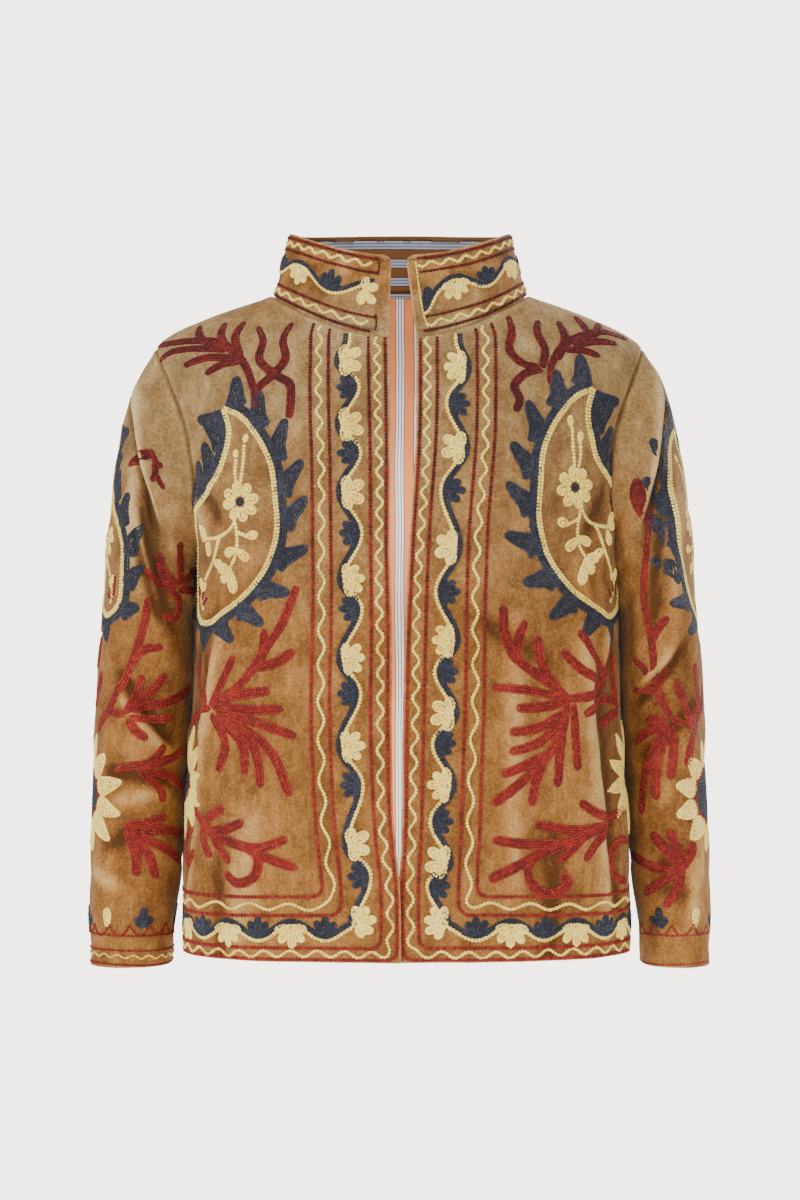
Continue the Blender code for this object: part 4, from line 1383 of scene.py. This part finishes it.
def vine(ground, side, half_round):
    """The running vine: a navy and a cream strand, with a palmette in each of its bends."""
    middle = border_line(side, *VINE, half_round)
    run = along_line(middle)
    swings = LEFT_SWINGS if side == LEFT else RIGHT_SWINGS
    down = middle[:, 1] > HEM_Z + VINE[1] + 8
    knots = list(np.interp(-np.array(swings, float), -middle[down, 1], run[down]))
    corner = run[down][-1] + 6.0
    knots = [k for k in knots if k < corner - 12] + [corner]
    rest = run[-1] - corner
    count = 2 * max(round(rest / VINE_BEND), 1)
    knots += list(corner + rest * np.arange(1, count + 1) / count)
    swing = np.array([0.0] + [1.0 if k % 2 else -1.0 for k in range(1, len(knots))])
    size = np.where(run > corner, VINE_SWAY[1], VINE_SWAY[0])
    strands(ground, middle, np.array(knots), swing, size, side)


def swinging(at, knots, swing):
    """How far a vine swings out of its middle line there, evenly from knot to knot."""
    k = np.clip(np.searchsorted(knots, at, side="right") - 1, 0, len(knots) - 2)
    t = (at - knots[k]) / (knots[k + 1] - knots[k])
    return swing[k] + (swing[k + 1] - swing[k]) * (1 - np.cos(np.pi * t)) / 2


def strands(ground, middle, knots, swing, size, side):
    """The vine's strands along a middle line, swinging at the knots, and its palmettes."""
    run = along_line(middle)
    sway = swinging(np.clip(run, knots[0], knots[-1]), knots, swing)
    line = shifted(middle, -side * sway * size)
    for off in (-1.2, 1.3):
        sew(ground, shifted(line, -side * (2.8 + off)), "navy", width=3.6, length=3.1)
    sew(ground, shifted(line, side * 1.2), "cream", width=4.5, height=1.45)
    ahead = unit(np.gradient(line, axis=0))
    for at, way in list(zip(knots, swing, strict=True))[1:-1]:
        k = int(np.searchsorted(run, at))
        out = np.array([ahead[k, 1], -ahead[k, 0]]) * side * way
        angle = np.degrees(np.arctan2(-out[0], out[1]))
        if way > 0:
            palmette(ground, line[k] + out * 1.5, angle, CREAM_PALMETTE, "cream", 4 + k % 2)
        else:
            palmette(ground, line[k] + out * 3.2, angle, NAVY_PALMETTE, "navy", 5)


def body_work(ground):
    """The needlework of the fronts, with the hem's border carried on round the back."""
    for side in (LEFT, RIGHT):
        borders(ground, side, ground.half_round[side])
    paisley(ground, (-166, -108), 0.94, -1.0)
    paisley(ground, (183, -89), 1.0, 1.0)
    corals(ground, LEFT_FRONT_CORALS)
    corals(ground, RIGHT_FRONT_CORALS)
    daisy(ground, (-256, -458), 58, 19)
    daisy(ground, (270, -452), 56, 19)


BACK_END = -556  # where the back's middle border meets the hem's one
BACK_REACH = 238  # strokes that reach further round are left out of the back
CHEST_Z = -150  # the branches that start above this are the upper ones
BACK_DROP = -24  # how far the upper branches are moved on the back, below the collar
BACK_SWING = 8.0


def back_work(ground):
    """The back, which the photograph doesn't show: the fronts' motifs round a middle vine."""
    for side, strokes in ((RIGHT, RIGHT_FRONT_CORALS), (LEFT, LEFT_FRONT_CORALS)):
        near = [stroke for stroke in strokes if max(map(abs, stroke[1::2])) < BACK_REACH]
        for lowest, highest, lift in ((CHEST_Z, 0, BACK_DROP), (HEM_Z, CHEST_Z, 0)):
            kept = [stroke for stroke in near if lowest < stroke[2] <= highest]
            corals(ground, kept, lambda places, lift=lift: places + [0, lift])
        paisley(ground, (side * 180, -112), 0.94, side)
        for off in (24.0, 54.0):
            line = curve([(side * (off + 1.2 * np.sin(z / 40)), z) for z in range(-2, BACK_END, -8)])
            sew(ground, line, "red", width=4.2, length=3.1)
        line = curve([(side * 40, z) for z in range(-6, BACK_END, -8)])
        sew(ground, wavy(line, 3.2 * side, 19.0, 30.0), "cream", width=3.6, length=3.2)
    middle = curve([(0, z) for z in range(0, BACK_END - 1, -6)])
    knots = np.linspace(0, -BACK_END, 16)
    swing = np.array([0.0] + [1.0 if k % 2 else -1.0 for k in range(1, 16)])
    strands(ground, middle, knots, swing, BACK_SWING, RIGHT)


# Lines round a cuff: thread, height and how far the line waves; the right cuff has fewer
CUFF_LINES = {
    LEFT: (("red", -600, 0), ("red", -614, 0), ("cream", -619.5, 1.8), ("red", -627, 0)),
    RIGHT: (("red", -600, 0), ("red", -627, 0)),
}
CUFF_ROUND = 134.0  # from the outer line to the seam under the arm
SCALLOP = 20.0


def sleeve_work(ground, side):
    """A sleeve's paisley, daisy and corals, the corals again on its back, and its cuff."""
    if side == LEFT:
        paisley(ground, (12, -118), 0.86, 1.0)
        daisy(ground, (10, -467), 60, 25)
        strokes = LEFT_SLEEVE_CORALS
    else:
        paisley(ground, (22, -125), 0.90, -1.0)
        daisy(ground, (18, -469), 56, 29)
        strokes = RIGHT_SLEEVE_CORALS
    corals(ground, strokes)
    corals(ground, strokes, lambda places: places * [-0.92, 1] + [0, 4])
    around = np.arange(-CUFF_ROUND, CUFF_ROUND + 0.1, 3.0)
    for thread, z, sway in CUFF_LINES[side]:
        line = curve(np.stack([around, z + 0.8 * np.sin(around / 23)], axis=1))
        sew(ground, wavy(line, sway, 15.0), thread, width=2.1)
    fine = np.arange(-CUFF_ROUND, CUFF_ROUND + 0.1, 1.0)
    scallops = -600 + 11 * (1 - np.abs(np.cos(np.pi * fine / SCALLOP)) ** 0.8)
    sew(ground, np.stack([fine, scallops], axis=1), "red", width=2.6, length=2.8)
    for k, a in enumerate(np.arange(-132.0, 120.0, 36.0)):
        petal(ground, (a, -594), 0, 20, 9, "cream" if k % 2 else "navy")
        for lean in () if k % 2 else (38, -38):
            petal(ground, (a, -594), lean, 14, 8, "navy")


# Lines round the collar: thread, height above its seam and how far the line waves
COLLAR_LINES = (
    ("red", 2.6, 0.0), ("cream", 8.6, 2.6), ("red", 15.0, 0.0),
    ("red", 54.0, 0.0), ("cream", 60.5, 2.4), ("red", 66.5, 0.0),
)


def collar_work(ground):
    """The collar's lines, its vine with palmettes, and the leaves at its front ends."""
    length = ground.over[-1]
    for thread, height, sway in COLLAR_LINES:
        start, end = (10.0 if height > 6 else 6.0), length - (14.0 if sway else 12.0)
        line = curve([(x, height + 0.5 * np.sin(x / 19)) for x in np.arange(start, end, 6.0)])
        sew(ground, wavy(line, sway, 18.0), thread, width=3.5, length=3.1)
    for ends in ((51, 60, 67), (3, 10, 17)):
        line = curve([(length - off, z) for off, z in zip((12, 11, 12), ends, strict=True)])
        sew(ground, line, "red", width=2.2)
    sew(ground, curve([(8.5, 64), (8, 40), (9, 14), (11, 5)]), "cream", width=2.0)
    count = 2 * round((length - 174.0) / 72.0 - 0.5) + 1
    between = np.linspace(77.0, length - 97.0, count + 1)
    knots = np.concatenate([[9.0, 43.0], between, [length - 58.0, length - 15.0]])
    swing = np.array([-1.0 if k % 2 == 0 else 1.0 for k in range(len(knots))])
    over = np.arange(9.0, length - 14.0, 1.2)
    line = np.stack([over, 35.0 + 7.5 * swinging(over, knots, swing)], axis=1)
    line[:, 1] -= 10 * (1 - ramp(over, 9.0, 26.0))
    for off in (2.5, 4.5):
        sew(ground, shifted(line, -off), "navy", width=3.2, length=3.0)
    sew(ground, line, "cream", width=4.2, height=1.4)
    for x, way in zip(knots[1:-1], swing[1:-1], strict=True):
        if way > 0:
            palmette(ground, (x, 41.5), 180, 18.5, "cream", 5)
        else:
            palmette(ground, (x, 31.0), 0, NAVY_PALMETTE, "navy", 5)
    palmette(ground, (length - 27, 37), -100, 17.0, "cream", 4)
    petal(ground, (12, 17), -10, 24, 9, "navy")


SIDE_SEAMS = (-271, 281)  # places of the side seams on the body's ground


def make_needlework(ground, dyes):
    """One piece of each thread for each cloth piece of this ground."""
    made = {}
    for (thread, filling), rows in ground.stitches.items():
        shape, own_faces = link(PLAIN, blunt=True) if filling else link(ROPE)
        rows = np.concatenate(rows)
        where = rows[:, 12]
        parts = {ground.name: np.ones(len(rows), bool)}
        if ground.name == "body":
            front = (where > SIDE_SEAMS[0]) & (where < SIDE_SEAMS[1])
            parts = {"front_left": front & (where < 0), "front_right": front & (where >= 0),
                     "back": ~front}
        for cloth_name, mine in parts.items():
            if not mine.any():
                continue
            base, ahead, side, up = rows[mine, :12].reshape(-1, 4, 3).swapaxes(0, 1)
            vertices = (
                base[:, None] + shape[:, 0, None] * ahead[:, None]
                + shape[:, 1, None] * side[:, None] + shape[:, 2, None] * up[:, None]
            )
            count = len(base)
            first = len(shape) * np.arange(count)
            faces = [(first[:, None] + np.array(face)).tolist() for face in own_faces]
            faces = [face for group in faces for face in group]
            name = f"{thread}_{'fillings' if filling else 'lines'}_{cloth_name}"
            if ground.name == "body" and cloth_name == "back":
                name += "_hem"
            strand = np.repeat(rng.uniform(0, 1, count), len(shape))
            piece = solid(name, vertices.reshape(-1, 3), faces, [dyes[thread]], "strand", strand)
            made.setdefault(cloth_name, []).append(piece)
    return made


COLLAR_HEIGHT = 0.070
COLLAR_TUCK = 0.0017  # how far the collar's lower edge reaches under the body's cloth
SLEEVE_TUCK = (0.0045, 0.0009)  # how far a sleeve's rim reaches into its seam, along and in


def collar_cloth():
    """The collar's grid, with the corners of its front ends rounded."""
    columns = spaced(110, fine=(0.0, 0.003, 0.007, 0.013, 0.022))
    rows = spaced(16, fine=(0.0, 0.03, 0.07))
    even, length = collar_surface()
    total = length[-1]
    points = []
    lines = between_rows(even.swapaxes(0, 1), np.linspace(0, 1, COLLAR_ROWS + 1), rows)
    for row, line in zip(rows, lines, strict=True):
        deep = COLLAR_CORNER - (1 - row) * COLLAR_HEIGHT
        cut = COLLAR_CORNER - np.sqrt(COLLAR_CORNER**2 - deep**2) if deep > 0 else 0.0
        at = cut + (total - 2 * cut) * columns
        points.append(between_rows(line[:, None], length, at)[:, 0])
    points = np.stack(points)
    directions = unit(np.cross(np.gradient(points, axis=1), np.gradient(points, axis=0)))
    from_seam = np.linalg.norm(points - points[:1], axis=2)
    points, height = collar_relief(points, directions, from_seam)
    around = np.broadcast_to(columns * total, points.shape[:2])
    points = parted(points)
    points[0] -= COLLAR_TUCK * unit(points[3] - points[0])
    return points, directions, height, around


def make_cloth():
    """The jacket's cloth: fronts, back, sleeves and collar, with what shows of the lining."""
    velvet = velvet_dye()
    lining = stripe_dye("orange_striped_cotton", (0.87, 0.31, 0.105), (0.030, 0.028, 0.036),
                        (0.21, 0.22, 0.26), (0.95, 0.95, 0.95), across=False)
    # the collar's lining: the orange striped lining darkened to brown with greyed stripes, as painted shade
    facing = stripe_dye("brown_striped_cotton", (0.135, 0.055, 0.018), (0.012, 0.010, 0.012),
                        (0.10, 0.11, 0.15), (0.30, 0.32, 0.38), across=True)
    made = {}
    for name, side in (("front_left", LEFT), ("front_right", RIGHT)):
        points, directions, height, around = panel(side, is_back=False)
        if side == LEFT:
            points = lapped(points, points[..., 2])
        grid = (parted(points), directions, height, around)
        made[name] = cloth(name + "_cloth", name, grid, 0.0, VELVET, velvet, lining)
    halves = [panel(side, is_back=True) for side in (RIGHT, LEFT)]
    grid = [np.concatenate([a[:, ::-1], b[:, 1:]], axis=1) for a, b in zip(*halves, strict=True)]
    grid[0] = parted(grid[0])
    made["back"] = cloth("back_cloth", "back", grid, 0.0, VELVET, velvet, lining)
    start = VELVET + SEAM_GAP
    grid = [table[::2, ::2] for table in grid]
    made["lining_back"] = cloth("back_lining_cloth", "lining_back", grid, start, COTTON,
                                lining, lining)
    angles, along = np.linspace(0.0, 360.0, SLEEVE_ROUND + 1)[:-1], SLEEVE_ROWS
    for name, side in (("sleeve_left", LEFT), ("sleeve_right", RIGHT)):
        points = sleeve(angles, along, side)
        directions = sleeve_normals(angles, along, side)
        relief = seam_relief(along)[:, None]
        # heights that set the painted highlight and painted shade of the folds and the seam
        height = sleeve_height(angles, along, side, creases=True) + relief
        points = points + directions * relief[..., None]
        turn, level = armhole(angles, side)
        off_body = normals(body, turn, level)
        points = parted(points, closed=True)
        points[0] += off_body * SEAM_GAP * (1 - running_on(directions[0], off_body))
        directions[0] = mitred(directions[0], off_body)
        points[0] -= SLEEVE_TUCK[0] * unit(points[3] - points[0]) + SLEEVE_TUCK[1] * directions[1]
        around = np.radians(np.where(angles > 180, angles - 360, angles)) * STRIPE_RADIUS
        around = np.broadcast_to(around, points.shape[:2])
        grid = (points, directions, height, around)
        made[name] = cloth(name + "_cloth", name, grid, 0.0, VELVET, velvet, lining, closed=True)
    grid = collar_cloth()
    made["collar"] = cloth("collar_cloth", "collar", grid, 0.0, VELVET, velvet, facing)
    made["lining_collar"] = cloth("collar_lining_cloth", "lining_collar", grid, start, COTTON,
                                  facing, facing)
    return made


# The cut of each piece: width, length, its flat area and what it hangs from
CUTS = {
    "front_left": (0.290, 0.640, 0.155, ["back"]),
    "front_right": (0.290, 0.640, 0.155, ["back"]),
    "back": (0.560, 0.650, 0.310, ["collar"]),
    "sleeve_left": (0.430, 0.610, 0.200, ["front_left", "back"]),
    "sleeve_right": (0.430, 0.610, 0.200, ["front_right", "back"]),
    "collar": (0.560, 0.075, 0.040, ["front_left", "front_right", "back"]),
    "lining_back": (0.560, 0.650, 0.310, ["back"]),
    "lining_collar": (0.560, 0.075, 0.040, ["collar"]),
}


PAPER = (0.890, 0.860, 0.810)  # the colour of the photograph's backdrop
FLOOR_Z = -1.13
FLOOR_RADIUS = 1.3
BACKDROP_RADIUS = 7.0


def make_studio():
    """A pale floor and backdrop, an even sky, and lamps as in the photograph."""
    floor_dye = Dye("pale_floor")
    grain = floor_dye.noise(floor_dye.places(), 3.0)
    pale = floor_dye.mix(grain, (0.80, 0.79, 0.76), (0.86, 0.85, 0.82))
    floor_dye.finish(base_color=pale, roughness=0.9, emission_color=PAPER, emission_strength=1.75)
    bpy.ops.mesh.primitive_circle_add(vertices=96, radius=FLOOR_RADIUS, fill_type="NGON",
                                      location=(0, 0, FLOOR_Z))
    floor = bpy.context.object
    floor.name = "studio_floor"
    bpy.ops.object.transform_apply(location=True, rotation=True, scale=True)
    floor.data.materials.append(floor_dye.material)
    bpy.ops.mesh.primitive_uv_sphere_add(segments=48, ring_count=24, radius=BACKDROP_RADIUS)
    backdrop = bpy.context.object
    backdrop.name = "studio_backdrop"
    backdrop.data.flip_normals()
    paper = Dye("backdrop_paper")
    paper.finish(base_color=(0.0, 0.0, 0.0), roughness=1.0, specular_ior_level=0.0,
                 emission_color=PAPER, emission_strength=5.0)
    backdrop.data.materials.append(paper.material)
    backdrop.visible_diffuse = backdrop.visible_glossy = backdrop.visible_shadow = False
    world = bpy.data.worlds.new("studio")
    bpy.context.scene.world = world
    world.use_nodes = True
    around = world.node_tree.nodes["Background"]
    around.inputs["Color"].default_value = (0.90, 0.88, 0.85, 1)
    around.inputs["Strength"].default_value = 0.85
    # Each lamp's place, what it looks at, its width and its power
    for name, at, towards, wide, power in (
        ("key", (-2.1, -1.9, 1.5), (0, 0, -0.25), 0.6, 98.0),
        ("beside_camera", (0.05, -2.9, -0.1), (0, 0, -0.3), 0.25, 17.0),
        ("right_fill", (2.2, -2.0, 0.9), (0, 0, -0.3), 0.7, 30.0),
        ("back_key", (1.9, 2.2, 1.4), (0, 0, -0.25), 0.7, 85.0),
        ("inside_upper", (0.0, -0.02, -0.20), (0, 1, -0.20), 0.10, 0.30),
        ("inside_lower", (0.0, -0.02, -0.45), (0, 1, -0.45), 0.10, 0.30),
    ):
        light = bpy.data.lights.new(name, "AREA")
        light.size, light.energy = wide, power
        lamp = placed(name, light)
        lamp.location = at
        lamp.rotation_euler = look_along(np.subtract(towards, at))


def look_along(way):
    """The turn that points a lamp this way, upright."""
    flat = np.hypot(way[0], way[1])
    return (np.pi / 2 + np.arctan2(way[2], flat), 0.0, np.arctan2(way[1], way[0]) - np.pi / 2)


# The camera of the photograph, level with the middle of the picture
CAMERA_AWAY = 3.0
CAMERA_Z = -0.285
FOCAL_LENGTH = 94.7


def make_camera():
    """The camera that takes the photograph's picture."""
    lens = bpy.data.cameras.new("photograph")
    lens.sensor_width, lens.lens = 36.0, FOCAL_LENGTH
    camera = placed("photograph", lens)
    camera.location = (0.0, -CAMERA_AWAY, CAMERA_Z)
    camera.rotation_euler = (np.pi / 2, 0.0, 0.0)
    bpy.context.scene.camera = camera


def main():
    """Dresses the jacket: studio, cloth, threads, and the needlework on each ground."""
    make_camera()
    make_studio()
    made = make_cloth()
    dyes = {
        "red": thread_dye("brick_red_thread", (0.062, 0.003, 0.003), (0.215, 0.012, 0.007),
                          (0.38, 0.038, 0.018), up_deepens=0.42),
        "cream": thread_dye("cream_thread", (0.56, 0.33, 0.045), (0.92, 0.67, 0.145),
                            (1.0, 0.85, 0.29)),
        "navy": thread_dye("slate_navy_thread", (0.008, 0.009, 0.015), (0.021, 0.023, 0.036),
                           (0.056, 0.060, 0.082)),
    }
    ground = body_ground()
    body_work(ground)
    grounds = [ground, body_ground("back", np.pi)]
    back_work(grounds[1])
    for side in (LEFT, RIGHT):
        grounds.append(sleeve_ground(side))
        sleeve_work(grounds[-1], side)
    grounds.append(collar_ground())
    collar_work(grounds[-1])
    work = {}
    for ground in grounds:
        for name, pieces in make_needlework(ground, dyes).items():
            work.setdefault(name, []).extend(pieces)
    for name, (wide, long, area, hangs_from) in CUTS.items():
        held = "hung" if name in ("front_left", "front_right") else "draped"


main()
